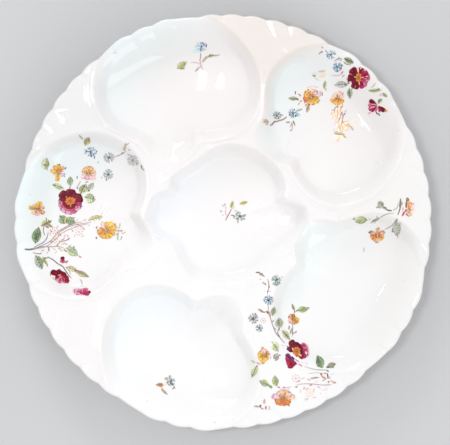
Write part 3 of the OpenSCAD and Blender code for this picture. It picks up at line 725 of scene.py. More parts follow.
def piece(name, node, points, tris, material, attribute=None, colours=None, normals=None, crease=None):
    """A finished piece from its points in millimetres, its triangles and its colours, in place of a node."""
    mesh = bpy.data.meshes.new(name)
    mesh.vertices.add(len(points))
    mesh.vertices.foreach_set("co", (points * mm).ravel())
    mesh.loops.add(3 * len(tris))
    mesh.loops.foreach_set("vertex_index", np.asarray(tris, np.int32).ravel())
    mesh.polygons.add(len(tris))
    mesh.polygons.foreach_set("loop_start", np.arange(0, 3 * len(tris), 3, dtype=np.int32))
    mesh.polygons.foreach_set("use_smooth", np.ones(len(tris), bool))
    mesh.update(calc_edges=True)
    if attribute:
        layer = mesh.color_attributes.new(name=attribute, type="FLOAT_COLOR", domain="POINT")
        layer.data.foreach_set("color", np.asarray(colours, np.float32).ravel())
    if crease:
        mesh.set_sharp_from_angle(angle=math.radians(crease))
    if normals is not None:
        mesh.normals_split_custom_set_from_vertices(normals.tolist())
    mesh.materials.append(material)
    obj = bpy.data.objects.new(name, mesh)
    bpy.context.scene.collection.objects.link(obj)
    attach(obj, "root")
    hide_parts(node)


points, tris, normals = body_mesh()
# The glaze's colours hold its tints and painted shade
piece(
    "glazed_body", "plate_body", points, tris, glazed_porcelain(),
    "glaze_tint_and_shade", glaze_tint_and_shade_of(points), normals)
points, tris = foot_mesh()
piece("turned_foot", "foot_ring", points, tris, bare_porcelain(), crease=foot_crease)

# Enamel colours

wine = tone(94, 0, 28)
crimson = tone(138, 2, 40)
ruby = tone(182, 20, 62)
magenta = tone(196, 48, 112)
pink = tone(226, 132, 168)
blush = tone(246, 208, 216)
rosy_orange = tone(236, 130, 80)
gold = tone(240, 184, 48)
old_gold = tone(172, 112, 14)
amber = tone(206, 128, 16)
orange = tone(238, 148, 50)
burnt = tone(222, 112, 24)
copper = tone(206, 92, 14)
yellow = tone(250, 206, 84)
peach = tone(250, 202, 158)
bisque = tone(250, 226, 204)
rust = tone(184, 84, 38)
brown = tone(116, 76, 56)
slate = tone(82, 104, 124)
navy = tone(44, 62, 84)
blue = tone(142, 182, 208)
ice = tone(212, 230, 238)
lilac = tone(218, 196, 222)
violet = tone(104, 70, 128)
green = tone(128, 152, 98)
fern = tone(162, 184, 124)
grass = tone(104, 156, 76)
pine = tone(70, 104, 66)
olive = tone(160, 156, 96)
lime = tone(204, 214, 138)
pear = tone(226, 230, 184)
sage = tone(178, 190, 164)
grey = tone(156, 156, 148)
mist = tone(208, 212, 208)
taupe = tone(182, 160, 140)
mauve = tone(178, 126, 126)
plum = tone(104, 72, 84)
moss = tone(112, 120, 100)
dusty = tone(216, 176, 174)
cream = tone(248, 242, 230)
tan = tone(216, 186, 142)
ink = tone(58, 36, 40)

# Heights above the glaze: a wash, a petal, a stroke, a dot and a rose's heart, and how far they sink in.
# Each new stroke of a work lies a little above the last, as on a real painted piece.
wash_lift = 0.06
petal_lift = 0.09
line_lift = 0.21
dot_lift = 0.19
heart_lift = 0.24
pad_sink = 0.10
pad_rise = 0.0008
line_rise = 0.0002
# A pad's height at its thin edge as a share of its height, and how far the colours of pads and strokes vary
pad_edge_share = 0.4
pad_vary = 0.05
line_vary = 0.04
# Even turns: round a dot and round a wash
dot_turns = np.arange(8) * 45
wash_turns = np.arange(16) * 22.5
# How far a dab bows out, as a share of its length
dab_bow_share = 0.08
# Strokes are this much fuller than their named widths, and thin out over this share of their length
stroke_share = 1.3
taper_share = 0.35
# A stroke's section: how far to each side, as shares of its half width, and how high there
section_shares = ((-0.85, 0.88), (0, 1), (0.85, 0.88))
# Petals: points of an outline, how far up their middles lie, and the width of the notch in the tip
petal_points = 22
petal_mid_share = 0.55
notch_w_share = 0.22
# Rays and outlines of petals: their width, and where the rays start, end and lean to
fine_w = 0.42
ray_foot_share = 0.12
ray_tip_share = 0.66
ray_lean_share = 0.17
# Blossoms: the width of the strokes in the gaps, and the stamens' number, turn from one to the next and size
gap_w = 0.5
stamens = 7
stamen_turn = 51
stamen_r = 0.5
# Florets: how wide a petal is for its reach, how far it may turn, and the strokes on its middle and tip
floret_petal_share = 0.74
floret_sway = 8
floret_mid_w = 0.7
floret_tip_w = 0.52
floret_tip_turn = 15
# Berries: the sizes of their dots and hearts
berry_dot_r = 0.42
berry_heart_r = 0.6
# Leaves: points of an edge, how full the foot is, the widths of rims, veins and midribs, how wide a leaf
# must be to show them, and where the veins start and how far up they run
leaf_points = 9
leaf_foot_power = 0.85
rim_w = 0.38
vein_w = 0.36
midrib_w = 0.5
rim_least_w = 4.4
vein_least_w = 3.6
vein_span_share = 0.8
vein_start_share = 0.42
vein_run_share = 0.14


class Brush:
    """The painting: each enamel node's strokes, as x, y on the grid and height above the glaze."""

    def __init__(self):
        self.works = {}

    def start(self, name):
        """Starts a node, which takes the strokes that follow."""
        self.work = self.works[name] = ([], [], [])
        self.count = 0
        self.rise = 0.0

    def take(self, points, tris, colours, rise):
        """Adds a closed stroke to the node, and lifts those to come by its rise."""
        for held, new in zip(self.work, (points, tris + self.count, colours)):
            held.append(new)
        self.count += len(points)
        self.rise += rise


brush = Brush()


def vary(colour, amount):
    """A colour a little lighter or darker, as no two strokes are the same."""
    return np.clip(colour * (1 + rng.uniform(-amount, amount, 3)), 0, 1)


def placed(x, y, turn, pts):
    """Points turned about their own origin and moved to (x, y)."""
    t = math.radians(turn)
    u, v = np.asarray(pts, float).T
    return np.column_stack([x + u * math.cos(t) - v * math.sin(t), y + u * math.sin(t) + v * math.cos(t)])


def from_middle(x, y, r, a):
    """The place at distance r and angle a from (x, y)."""
    return np.array([x, y]) + polar(r, a)


def pad(mid, outline, inner, outer, lift=petal_lift, dome=0.07, shares=(0.35, 0.7, 0.92)):
    """A closed pad of enamel: rings of points from its middle to its outline, domed, with a thin edge."""
    mid = np.asarray(mid, float)
    outline = np.asarray(outline, float)
    v = outline - mid
    if (v[:, 0] * np.roll(v[:, 1], -1) - v[:, 1] * np.roll(v[:, 0], -1)).sum() < 0:
        outline = outline[::-1]
    n = len(outline)
    high = lift + brush.rise
    inner, outer = vary(inner, pad_vary), vary(outer, pad_vary)
    points = [np.append(mid, high + dome)[None]]
    colours = [inner[None]]
    for s in shares:
        points.append(np.column_stack([mid + s * (outline - mid), np.full(n, high + dome * (1 - s * s))]))
        colours.append(np.tile(blend(inner, outer, s ** 1.3), (n, 1)))
    points.append(np.column_stack([outline, np.full(n, high * pad_edge_share)]))
    points.append(np.column_stack([outline, np.full(n, -pad_sink)]))
    points.append(np.append(mid, -pad_sink)[None])
    colours.append(np.tile(outer, (2 * n + 1, 1)))
    rings = 1 + np.arange((len(shares) + 2) * n).reshape(-1, n)
    tris = [fan(0, rings[0])] + [tris_between(a, b) for a, b in zip(rings, rings[1:])]
    tris.append(fan(1 + rings.size, rings[-1])[:, [0, 2, 1]])
    brush.take(np.concatenate(points), np.concatenate(tris), np.concatenate(colours), pad_rise)


def line(points, width, colour, end=None, taper=(0.35, 0.35), n=None, lift=line_lift):
    """A low closed stroke along a smooth curve, from one colour to another.

    Towards each end it thins out, with the square of the way left, to a share of its width.
    """
    pts = smooth_line(points, n or max(6, 5 * len(points)))
    m = len(pts)
    d = np.gradient(pts, axis=0)
    d /= np.maximum(np.linalg.norm(d, axis=1), 1e-9)[:, None]
    side = np.column_stack([-d[:, 1], d[:, 0]])
    t = np.linspace(0, 1, m)
    thin = sum(
        (1 - share) * np.clip(1 - way / taper_share, 0, 1) ** 2 for share, way in zip(taper, (t, 1 - t)))
    w = stroke_share * width / 2 * (1 - thin)
    high = lift + brush.rise
    section = [(-1, -pad_sink)] + [(out, up * high) for out, up in section_shares] + [(1, -pad_sink)]
    k = len(section)
    grid = np.stack([np.column_stack([pts + side * (o * w)[:, None], np.full(m, h)]) for o, h in section], 1)
    idx = np.arange(m * k).reshape(m, k)
    a, b = idx[:-1], idx[1:]
    a2, b2 = np.roll(a, -1, 1), np.roll(b, -1, 1)
    tris = [np.stack(corners, -1).reshape(-1, 3) for corners in ((a, b, b2), (a, b2, a2))]
    for row, order in ((idx[0], [0, 1, 2]), (idx[-1], [0, 2, 1])):
        tris.append(np.stack([np.full(k - 2, row[0]), row[1:-1], row[2:]], 1)[:, order])
    first = vary(colour, line_vary)
    last = first if end is None else vary(end, line_vary)
    colours = blend(first, last, t[:, None]).repeat(k, 0)
    brush.take(grid.reshape(-1, 3), np.concatenate(tris), colours, line_rise)


def dots(colour, rows, lift=dot_lift):
    """Round dots: x, y and radius."""
    for x, y, r in rows:
        pad((x, y), from_middle(x, y, r, dot_turns), colour, colour, lift, 0.05, (0.7,))


def washes(rows):
    """Soft uneven patches of thin paint: x, y, length, width, turn, inner and outer colour.

    Each outline is an ellipse that swells and shrinks by two sines of the angle.
    """
    a = wash_turns
    for x, y, length, width, turn, inner, outer in rows:
        wobble = 1 + 0.08 * np.sin(np.radians(3 * a + 40 * x)) + 0.06 * np.sin(np.radians(5 * a + 70 * y))
        outline = polar(wobble, a) * (length / 2, width / 2)
        pad((x, y), placed(x, y, turn, outline), inner, outer, wash_lift, 0.04)


def dabs(rows):
    """Short brush strokes: x, y of the middle, length, width, turn and colour.

    Where a stroke lies decides to which side it bows.
    """
    for x, y, length, width, turn, colour in rows:
        bow = dab_bow_share * length * (1 if (x + y) % 2 > 1 else -1)
        route = placed(x, y, turn, [(-length / 2, 0), (0, bow), (length / 2, 0)])
        line(route, width, colour, None, (0.5, 0.3), 7)


def petals(x, y, rows, fat=0.4, notch=0.07, start=0.8, slim=0.9, inked=0.5):
    """Petals round (x, y): angle, reach, width, inner and outer colour.

    Each is fatter towards its tip and notched there. Two darker rays run up from its foot, and a fine dark
    outline runs round one side of its tip.
    """
    th = np.radians(np.arange(petal_points) * 360 / petal_points)
    u = (1 - np.cos(th)) / 2
    for i, (turn, reach, width, inner, outer) in enumerate(rows):
        width = width * slim
        v = np.sin(th) * width / 2 * (1 + fat * (2 * u - 1))
        notched = notch * np.exp(-(v / (notch_w_share * width)) ** 2) * (u > 0.5)
        along = start + (reach - start) * (u - notched)
        outline = placed(x, y, turn, np.column_stack([along, v]))
        mid = placed(x, y, turn, [(start + (reach - start) * petal_mid_share, 0)])[0]
        pad(mid, outline, inner, outer)
        if inked:
            foot = (start + ray_foot_share * reach, 0)
            for lean in (-ray_lean_share, ray_lean_share):
                ray = placed(x, y, turn, [foot, (ray_tip_share * reach, lean * width)])
                line(ray, fine_w, blend(inner, ink, inked), inner, (0.8, 0.2), 5)
            first = 7 if i % 2 else 9
            line(outline[first:first + 7:2], fine_w, blend(outer, ink, inked), None, (0.3, 0.3), 8)


def blossom(x, y, rows, grow=1.0):
    """An orange blossom: slim petals with glaze between them, brown strokes in the gaps and stamen dots."""
    rows = [(turn, reach * grow, width * grow, a, b) for turn, reach, width, a, b in rows]
    petals(x, y, rows, 0.3, 0.12, 0.5, 0.82, 0.4)
    turns = sorted(row[0] % 360 for row in rows)
    reach = sum(row[1] for row in rows) / len(rows)
    for i, turn in enumerate(turns):
        mid = turn + (turns[(i + 1) % len(turns)] - turn) % 360 / 2
        far = reach * (0.62 + 0.22 * math.sin(1.7 * i + x))
        line(placed(x, y, mid, [(0.08 * reach, 0), (far, 0.25)]), gap_w, brown, amber, (0.8, 0.2), 5)
    for i in range(stamens):
        p = placed(x, y, i * stamen_turn, [(0.26 * reach * (1 + 0.3 * math.sin(2.3 * i)), 0)])[0]
        dots((brown, rust, gold)[i % 3], [(*p, stamen_r)])


def outlined(x, y, rows, colour, width):
    """Fine outlines round petal tips, each part of an oval: angle, reach and width of each petal."""
    t = np.radians(np.linspace(-75, 75, 7))
    for turn, reach, petal_w in rows:
        pts = np.column_stack([reach * (0.72 + 0.28 * np.cos(t)), petal_w / 2 * np.sin(t) * 1.1])
        line(placed(x, y, turn, pts), width, colour, None, (0.3, 0.3), 12)


def leaf(x, y, length, width, turn, dark, light, vein=None, rim=None, bend=0.0, veins=3):
    """A leaf as two half blades, one darker, with a midrib, side veins and uneven dark outlines.

    Its half width follows a sine along its length, fuller near its foot, and its midrib a parabola.
    """
    u = np.linspace(0, 1, leaf_points)
    half = np.sin(np.pi * u ** leaf_foot_power) ** leaf_foot_power * width / 2
    spine = np.column_stack([(u - 0.5) * length, bend * length * (0.25 - (u - 0.5) ** 2)])
    vein = blend(dark, ink, 0.45) if vein is None else blend(vein, ink, 0.3)
    rim = blend(dark, ink, 0.32) if rim is None else blend(rim, ink, 0.22)
    for sign, colour in ((1, dark), (-1, light)):
        edge = spine + np.column_stack([0 * half, sign * half])
        mid = placed(x, y, turn, [(0, bend * length * 0.25 + sign * width * 0.2)])[0]
        outline = placed(x, y, turn, np.vstack([spine, edge[::-1][1:-1]]))
        pad(mid, outline, colour, blend(colour, cream, 0.2), wash_lift, 0.06)
        if width > rim_least_w:
            part = edge[1:8:2] if sign > 0 else edge[3:]
            line(placed(x, y, turn, part), rim_w, rim, None, (0.2, 0.5))
        for i in range(veins if width > vein_least_w else 0):
            s = (i + 1) / (veins + 1) * vein_span_share
            a = (s - vein_start_share) * length
            b = bend * length * (0.25 - (a / length) ** 2)
            out = sign * math.sin(math.pi * (s + vein_run_share)) * width / 2 * vein_span_share
            route = placed(x, y, turn, [(a, b), (a + vein_run_share * length, b + out)])
            line(route, vein_w, vein, None, (1, 0.2), 4)
    line(placed(x, y, turn, spine[::2]), midrib_w, vein, None, (0.6, 0.3))


def floret(x, y, rx, ry, turn, fill=ice, stroke=slate, core=navy, n=5):
    """A small blue flower: pale petals with a dark stroke up each and two short ones across its tip."""
    for i in range(n):
        a = turn + 360 * i / n + rng.uniform(-floret_sway, floret_sway)
        k = math.hypot(rx * math.cos(math.radians(a)), ry * math.sin(math.radians(a)))
        shades = blend(fill, blue, 0.4), blend(fill, cream, 0.2)
        petals(x, y, [(a, k, k * floret_petal_share, *shades)], inked=0)
        middle = placed(x, y, a, [(0.12 * k, 0), (0.66 * k, rng.uniform(-0.3, 0.3))])
        line(middle, floret_mid_w, core, stroke, (1, 0.4), 5)
        for off in (-1, 1):
            tip = placed(x, y, a + off * floret_tip_turn, [(0.62 * k, 0), (0.98 * k, off * 0.3)])
            line(tip, floret_tip_w, core, stroke, (0.8, 0.4), 4)
    dots(core, [(x, y, 0.1 * k + 0.35)])


def berry(x, y, r, ring, heart):
    """A berry: a pale disc with a dotted ring and a dark heart."""
    washes([(x, y, 1.9 * r, 1.9 * r, 0, blend(blush, cream, 0.5), cream)])
    dots(ring, [(*p, berry_dot_r) for p in from_middle(x, y, 0.84 * r, dot_turns + 10)])
    dots(heart, [(x, y, berry_heart_r)])


def stems(rows):
    """Stems: the points that each runs through, its width and its two colours."""
    for route, width, colour, end in rows:
        line(route, width, colour, end, (0.6, 0.4), 6 * len(route))


def gold_heart(x, y, rx, ry, turn):
    """The ragged golden middle of a rose, with stamens round it and four dark spots."""
    outline = polar(np.where(np.arange(16) % 2 == 0, 1, 0.78), wash_turns) * (rx, ry)
    pad((x, y), placed(x, y, turn, outline), old_gold, rosy_orange, heart_lift, 0.04)
    for i in range(9):
        p = placed(x, y, turn, [(0.62 * rx * math.cos(i * 0.7), 0.62 * ry * math.sin(i * 0.7))])[0]
        dots((gold, amber, rust)[i % 3], [(*p, 0.62)], heart_lift + 0.02)
    spots = [(x - 0.8, y + 0.3, 0.7), (x + 0.9, y - 0.2, 0.6), (x, y + 1.3, 0.5), (x + 0.2, y - 1.2, 0.5)]
    dots(brown, spots, heart_lift + 0.03)


# Left spray

brush.start("left_spray_roses")
petals(-156.5, 20.5, [
    (190, 11.4, 8, pink, blush), (212, 12.6, 8.6, magenta, blush), (238, 13.4, 9, pink, blush),
    (264, 13.8, 9.5, pink, blush), (290, 13.4, 9, magenta, pink), (317, 13, 8.4, pink, blush),
    (343, 12.6, 7, magenta, magenta)], start=6.5)
petals(-156.5, 20.5, [
    (204, 10, 9, crimson, ruby), (240, 9.8, 9, wine, ruby), (272, 10, 9, crimson, ruby),
    (305, 10, 9, wine, ruby), (336, 10.8, 8.5, crimson, magenta), (168, 11.2, 8, crimson, wine),
    (137, 13.4, 9.6, wine, crimson), (112, 8.6, 8.5, crimson, wine), (84, 12.6, 10.6, wine, crimson),
    (52, 11, 9, crimson, wine), (17, 13.8, 10.4, crimson, wine)], 0.5, 0.05)
dabs([
    (-160.5, 27.5, 6, 0.7, 130, wine), (-156, 29, 5.5, 0.7, 88, wine), (-149.5, 24.5, 6, 0.7, 25, wine),
    (-164.5, 13.8, 3.4, 0.6, 220, violet), (-160.8, 10.2, 3, 0.6, 245, crimson),
    (-155.6, 9.2, 3.2, 0.6, 270, magenta), (-150.6, 10.4, 3, 0.6, 300, crimson),
    (-145.6, 14.6, 4, 0.8, 70, violet), (-166.6, 18.2, 3, 0.6, 200, ruby)])
dots(violet, [
    (-165.4, 12, 0.6), (-161, 8.4, 0.55), (-155.3, 7.3, 0.55), (-151.4, 8.2, 0.5), (-144.3, 15.4, 0.6),
    (-167.3, 19.6, 0.5)])
gold_heart(-156, 20.6, 5.9, 4.6, 10)
dabs([
    (-159.8, 24.4, 3, 0.7, 125, orange), (-151.8, 22.6, 3, 0.7, 25, orange),
    (-155.4, 15.8, 2.6, 0.7, 280, orange)])
washes([(-166.5, -58.6, 16, 4.5, -32, blush, cream), (-172.6, -54.6, 6, 4, -60, bisque, cream)])
petals(-165.3, -55.4, [
    (228, 6.4, 5, pink, blush), (262, 6.2, 5.4, ruby, pink), (312, 8.4, 5.4, crimson, pink),
    (150, 11, 6.2, crimson, wine), (118, 7.4, 6.5, wine, crimson), (70, 5.4, 6, crimson, wine),
    (20, 6.2, 6, crimson, wine), (340, 8.4, 6.2, crimson, ruby), (326, 10.4, 5.4, wine, ruby),
    (200, 5.6, 5, crimson, ruby)], 0.4, 0.04)
dabs([
    (-164.4, -55.2, 4.5, 1.3, -28, tone(236, 92, 84)), (-166.4, -54.2, 2.4, 0.8, 20, blush),
    (-161.5, -57.8, 2.6, 0.8, -50, pink), (-175, -53.6, 3.4, 0.7, 100, taupe),
    (-171.8, -57.6, 4, 0.6, -40, taupe), (-166, -61.6, 4, 0.6, -15, magenta)])
petals(-163.5, -39.2, [
    (95, 3.8, 4.4, crimson, wine), (300, 3.2, 4.4, ruby, pink), (235, 3, 3.6, magenta, pink)], start=-2)
dabs([(-160.3, -41, 3.4, 1.2, -35, pink), (-158.9, -40.2, 2, 0.9, 30, plum)])
washes([(-144.5, -70.4, 17, 7, -6, pink, blush)])
petals(-146, -70.6, [
    (182, 5.6, 5.5, pink, blush), (8, 9.8, 6.2, magenta, pink), (350, 11.4, 5, ruby, magenta)], start=-3)
dabs([(x, -70.3 + o, 3.6, 0.6, t, c) for x, o, t, c in (
    (-150.4, 0.5, 80, magenta), (-148.2, -0.8, 95, pink), (-146.6, 0.8, 70, violet),
    (-144.4, -0.6, 100, magenta), (-142.6, 0.6, 85, blush), (-140.8, -0.8, 75, magenta),
    (-139, 0.4, 95, crimson), (-146.9, -3, 10, ruby))])
washes([(-136, -71, 4.2, 3.4, -6, wine, ruby)])

brush.start("left_spray_orange_blossoms")
blossom(-167.4, 50.2, [
    (176, 7.6, 4, yellow, gold), (128, 7, 4, yellow, orange), (92, 7.4, 4.4, gold, yellow),
    (38, 7, 4.2, orange, peach), (262, 9.4, 5.2, gold, yellow), (225, 5.6, 4, yellow, bisque),
    (318, 6, 4, lilac, blush)], grow=1.12)
dabs([
    (-170.6, 52.4, 4, 0.8, 150, amber), (-167.4, 47, 4.6, 0.9, 85, amber), (-165, 51.8, 3.4, 0.7, 35, burnt),
    (-167.8, 53.6, 3, 0.7, 100, amber), (-160.3, 53.6, 2.6, 0.9, 60, slate), (-166.6, 57, 2.2, 1, 10, slate),
    (-162, 45.8, 2.4, 0.6, -60, violet), (-161.4, 48, 2, 0.6, -50, violet),
    (-168.4, 42.4, 2.6, 0.5, 80, brown)])
dots(burnt, [(-168.2, 50.6, 0.9), (-166.6, 51, 0.7), (-167.2, 49.2, 0.7)])
washes([(-138, 44.4, 14, 7, -8, blush, cream), (-131.5, 45, 5, 8, 20, blush, cream)])
blossom(-137.3, 48, [
    (150, 7, 5.4, peach, bisque), (118, 7.2, 5, yellow, peach), (88, 7.4, 5, peach, yellow),
    (58, 7.2, 5, yellow, peach), (25, 7, 5.4, peach, bisque), (182, 6.4, 4, peach, blush),
    (355, 6.6, 4.4, peach, blush), (300, 6, 5, blush, blush), (240, 6, 5, blush, pink)], grow=1.14)
dabs([(*from_middle(-137.3, 48, r, a), 1.5, 0.6, a, c) for r, a, c in (
    (3.4, 165, rust), (5, 145, brown), (4.4, 125, burnt), (5.8, 108, rust), (4, 92, brown), (5.6, 76, burnt),
    (4.4, 58, rust), (5.8, 42, brown), (4, 28, burnt), (5.4, 12, rust), (2.2, 110, amber), (2.4, 50, brown),
    (6.6, 160, brown), (6.8, 22, rust), (6.8, 130, rust), (7, 92, brown), (7, 55, rust), (7.4, 112, amber),
    (7.4, 74, brown))])
dabs([
    (-143.8, 44, 3.6, 0.5, -40, pink), (-131, 42.6, 3, 0.5, 60, orange), (-136.8, 43, 1.6, 0.8, 30, rust),
    (-139.4, 40, 3.4, 0.8, 20, mauve)])
blossom(-188, 12.6, [
    (72, 7.6, 5.6, gold, yellow), (128, 5.6, 4.6, yellow, peach), (172, 8.2, 5, olive, yellow),
    (222, 6.8, 5, peach, bisque), (268, 6.6, 5.4, blush, peach), (322, 7.6, 5, peach, orange),
    (22, 6.4, 4.6, orange, bisque)], grow=1.08)
dabs([
    (-192.6, 12.2, 4, 0.9, 170, olive), (-185.2, 10.6, 3.2, 0.9, -45, brown),
    (-182.4, 13.4, 2.4, 0.8, 40, brown), (-186.4, 16.6, 3.4, 0.8, 75, amber),
    (-188.6, 8.4, 2.6, 0.7, -70, rust), (-184.2, 8.2, 2.8, 0.7, -50, brown),
    (-190.6, 14.4, 2.6, 0.6, 140, burnt), (-190.4, 9.6, 2, 0.6, 220, rust)])
dots(brown, [(-188.2, 12.4, 0.7), (-186.8, 12.8, 0.6), (-187.6, 11.2, 0.6)])
blossom(-120, -9, [
    (48, 9.4, 6, yellow, yellow), (20, 9, 5.6, gold, yellow), (342, 8.6, 5.4, orange, yellow),
    (300, 8, 6, gold, yellow), (262, 7.4, 6, gold, gold), (228, 7.6, 5, gold, orange),
    (200, 7.8, 4.8, orange, gold), (165, 6, 4.6, orange, peach), (115, 8.2, 4.6, blush, bisque),
    (84, 7.4, 4.6, gold, yellow)], grow=1.25)
dabs([
    (-124.4, -7.4, 4, 0.7, 150, brown), (-125.6, -12.4, 4, 0.7, 200, brown), (-119.6, -16, 4, 0.7, 275, rust),
    (-114, -12.6, 4, 0.7, -30, rust), (-114.6, -5.4, 4, 0.7, 40, rust), (-120.4, -3.4, 4, 0.7, 90, amber),
    (-128, -9, 2.6, 0.8, 170, rust), (-110.6, -3, 2.6, 0.7, 60, amber), (-111.4, -8.4, 3, 0.6, 10, amber),
    (-116.4, -15.4, 3, 0.7, -60, brown), (-122, -10.6, 5, 1, 30, burnt), (-120.4, -8, 4.4, 1, 55, amber),
    (-118, -11, 4, 0.9, -35, amber), (-122.8, -13, 3.6, 0.8, -120, orange), (-117, -6, 4.4, 0.8, 45, amber),
    (-120.6, -12.6, 3, 0.8, -85, burnt), (-129.4, -6, 2.2, 1, 60, plum), (-129.4, -16.6, 2.4, 1, -60, plum),
    (-124.4, -3.6, 2.8, 0.5, 120, taupe), (-112.2, -9.2, 2.6, 0.5, 100, olive)])

brush.start("left_spray_blue_florets")
washes([
    (-138.6, 69.6, 8, 5.4, 10, ice, cream), (-134.6, 73, 7, 4.4, -10, blue, ice),
    (-131, 69.2, 5.4, 7, 0, ice, cream)])
floret(-135, 70, 6.8, 5, 35, ice, tone(128, 156, 180), navy)
dabs([
    (-139.2, 70.4, 2, 1, 30, slate), (-134.6, 68.4, 3.4, 0.8, 100, navy), (-129, 70.4, 2, 0.9, 60, navy),
    (-134, 65.8, 2, 0.9, 95, navy), (-131.4, 64.4, 2.2, 0.9, 80, slate), (-136.6, 73.4, 2.4, 0.7, 120, slate),
    (-132.2, 67.2, 2.8, 0.6, 60, violet)])
floret(-116.6, 64.4, 5.8, 5.6, 20, mist, grey, slate, 6)
floret(-117.4, 47.6, 5.4, 5.4, 50, mist, grey, slate, 6)
dots(slate, [(-119.4, 41.9, 0.8), (-124.4, 44.2, 0.5), (-127.4, 59.6, 0.6), (-121.6, 48, 0.6)])
floret(-92.4, 61.2, 6.4, 5.4, -20, mist, mist, grey, 6)
dabs([(-88.6, 57.6, 3.2, 0.7, -60, slate), (-86.6, 58.6, 2, 0.6, -50, grey)])

brush.start("left_spray_leaves")
leaf(-155.9, 40.6, 9.5, 5.6, 92, fern, sage, green, pine)
leaf(-168, 35.4, 12, 5, 160, lime, pear, green)
dabs([
    (-172.4, 36.6, 2.4, 1, -40, pine), (-164.6, 34.6, 2.8, 0.8, -45, pine),
    (-167.2, 33.2, 4, 0.5, 10, green)])
leaf(-136, 23.2, 11.4, 9, -12, fern, pear, green, pine)
dabs([(-132.6, 22.4, 4.6, 0.9, 80, pine), (-140.2, 24.4, 2.4, 1, -30, pine)])
leaf(-163.6, 1.8, 9.6, 8.4, -60, green, fern, pine, pine)
leaf(-155.8, 0.4, 10.6, 8, -12, fern, green, pine, pine)
dabs([
    (-161.2, 2, 6, 0.9, 70, yellow), (-159.2, 0.6, 5.4, 0.6, 75, pine), (-166.2, 5, 2.4, 0.8, -50, moss),
    (-152.4, 3.6, 2.8, 0.7, 20, grey)])
leaf(-188.6, -14, 17, 8.2, 80, grass, pine, pine, None, 0.06, 4)
dabs([(-190.4, -14.6, 7, 1.4, 84, pine), (-187.4, -9.6, 5, 0.7, 70, fern), (-186.6, -17, 5, 0.7, 75, lime)])
leaf(-186.4, -41, 15.5, 7.4, -64, green, sage, pine, None, 0.05)
leaf(-180.4, -40.2, 11, 3.4, -60, lime, olive, green)
dabs([(-180.8, -37, 2, 1.2, 60, plum), (-178.6, -36.4, 3, 0.6, 40, plum), (-179, -43.6, 4, 0.7, -70, olive)])
leaf(-153.8, -30.4, 14.5, 8, -32, sage, lime, green, None, -0.08)
dabs([
    (-151.6, -28, 4, 0.7, -20, green), (-152.2, -25.8, 1.6, 1, 40, pine),
    (-145.8, -35.6, 3, 1, -30, tone(214, 90, 96)), (-156.6, -28.8, 3.6, 0.6, -40, green)])

brush.start("left_spray_olive_leaves")
leaf(-138.2, 80.4, 9.6, 5.8, 62, olive, tone(226, 210, 140), olive)
dabs([(-136.6, 81.4, 3.4, 1, 75, brown), (-139.6, 78.6, 3, 0.7, 40, olive)])
leaf(-144, 84.6, 6, 3, 130, sage, mist, grey)
leaf(-179.8, 58, 12.5, 7.2, 80, pear, olive)
dabs([
    (-180.6, 56.4, 3.4, 1.1, -20, pine), (-177.4, 58.2, 3, 1, 80, moss), (-179.4, 61.6, 3, 0.7, 100, sage),
    (-178.2, 52.6, 3, 0.7, -80, olive)])
leaf(-99.5, 75, 8.4, 3.6, 78, tan, mist, taupe)
dabs([
    (-97, 77.8, 3, 0.6, 40, rust), (-101.6, 72.6, 3.4, 0.6, 120, taupe), (-95.6, 71.8, 2.6, 0.7, -20, grey),
    (-103, 69, 2.6, 0.6, 20, plum)])
leaf(-142.8, 32.8, 11.5, 7.4, 62, olive, lime, pine)
leaf(-135.4, 35, 10.5, 5, 55, sage, mist, grey)
dabs([(-142, 30.8, 2.4, 0.9, 70, brown), (-137.2, 31, 2.6, 1, 30, pine), (-139.8, 33.4, 3, 0.6, 90, olive)])
leaf(-130.6, 3, 15, 6, 16, tan, pear, olive)
dabs([(-125.4, 6.6, 5, 1.4, 60, peach), (-127.6, 4.2, 4.6, 0.6, 30, brown)])
leaf(-154.2, -47.8, 12.5, 4.6, -16, tan, pear, olive)
leaf(-144, -53, 15.5, 5, -20, olive, tan, olive)
dabs([
    (-148.6, -50, 5, 0.9, -12, brown), (-142.6, -53, 5.6, 0.6, -22, moss),
    (-138.2, -55.6, 3, 0.8, -10, grey)])
leaf(-179.8, -1.6, 11.5, 5.6, 28, lime, olive, brown)
leaf(-176.4, -4.4, 7, 3.2, -30, olive, tan, brown)
dabs([
    (-178.8, -6, 3, 1, -20, plum), (-176, 0, 3.4, 0.6, 30, brown), (-183.6, -3.8, 2.6, 0.6, 60, mauve),
    (-180, 2.6, 2.2, 0.6, 110, brown), (-106.6, -9, 8.4, 1.3, -4, taupe), (-107.4, -15, 8, 1.4, 85, sage),
    (-106.4, -4.6, 6.4, 1.1, 74, tan), (-102, -11.4, 5, 0.8, 20, tan), (-109, -12.6, 3.6, 0.7, 40, grey),
    (-104.4, -16.6, 4, 0.8, 70, grey), (-109.4, -5.6, 3, 0.8, 120, olive), (-82.2, 53.2, 5.4, 1, -50, grey),
    (-83.4, 55.2, 3, 0.8, -60, slate)])

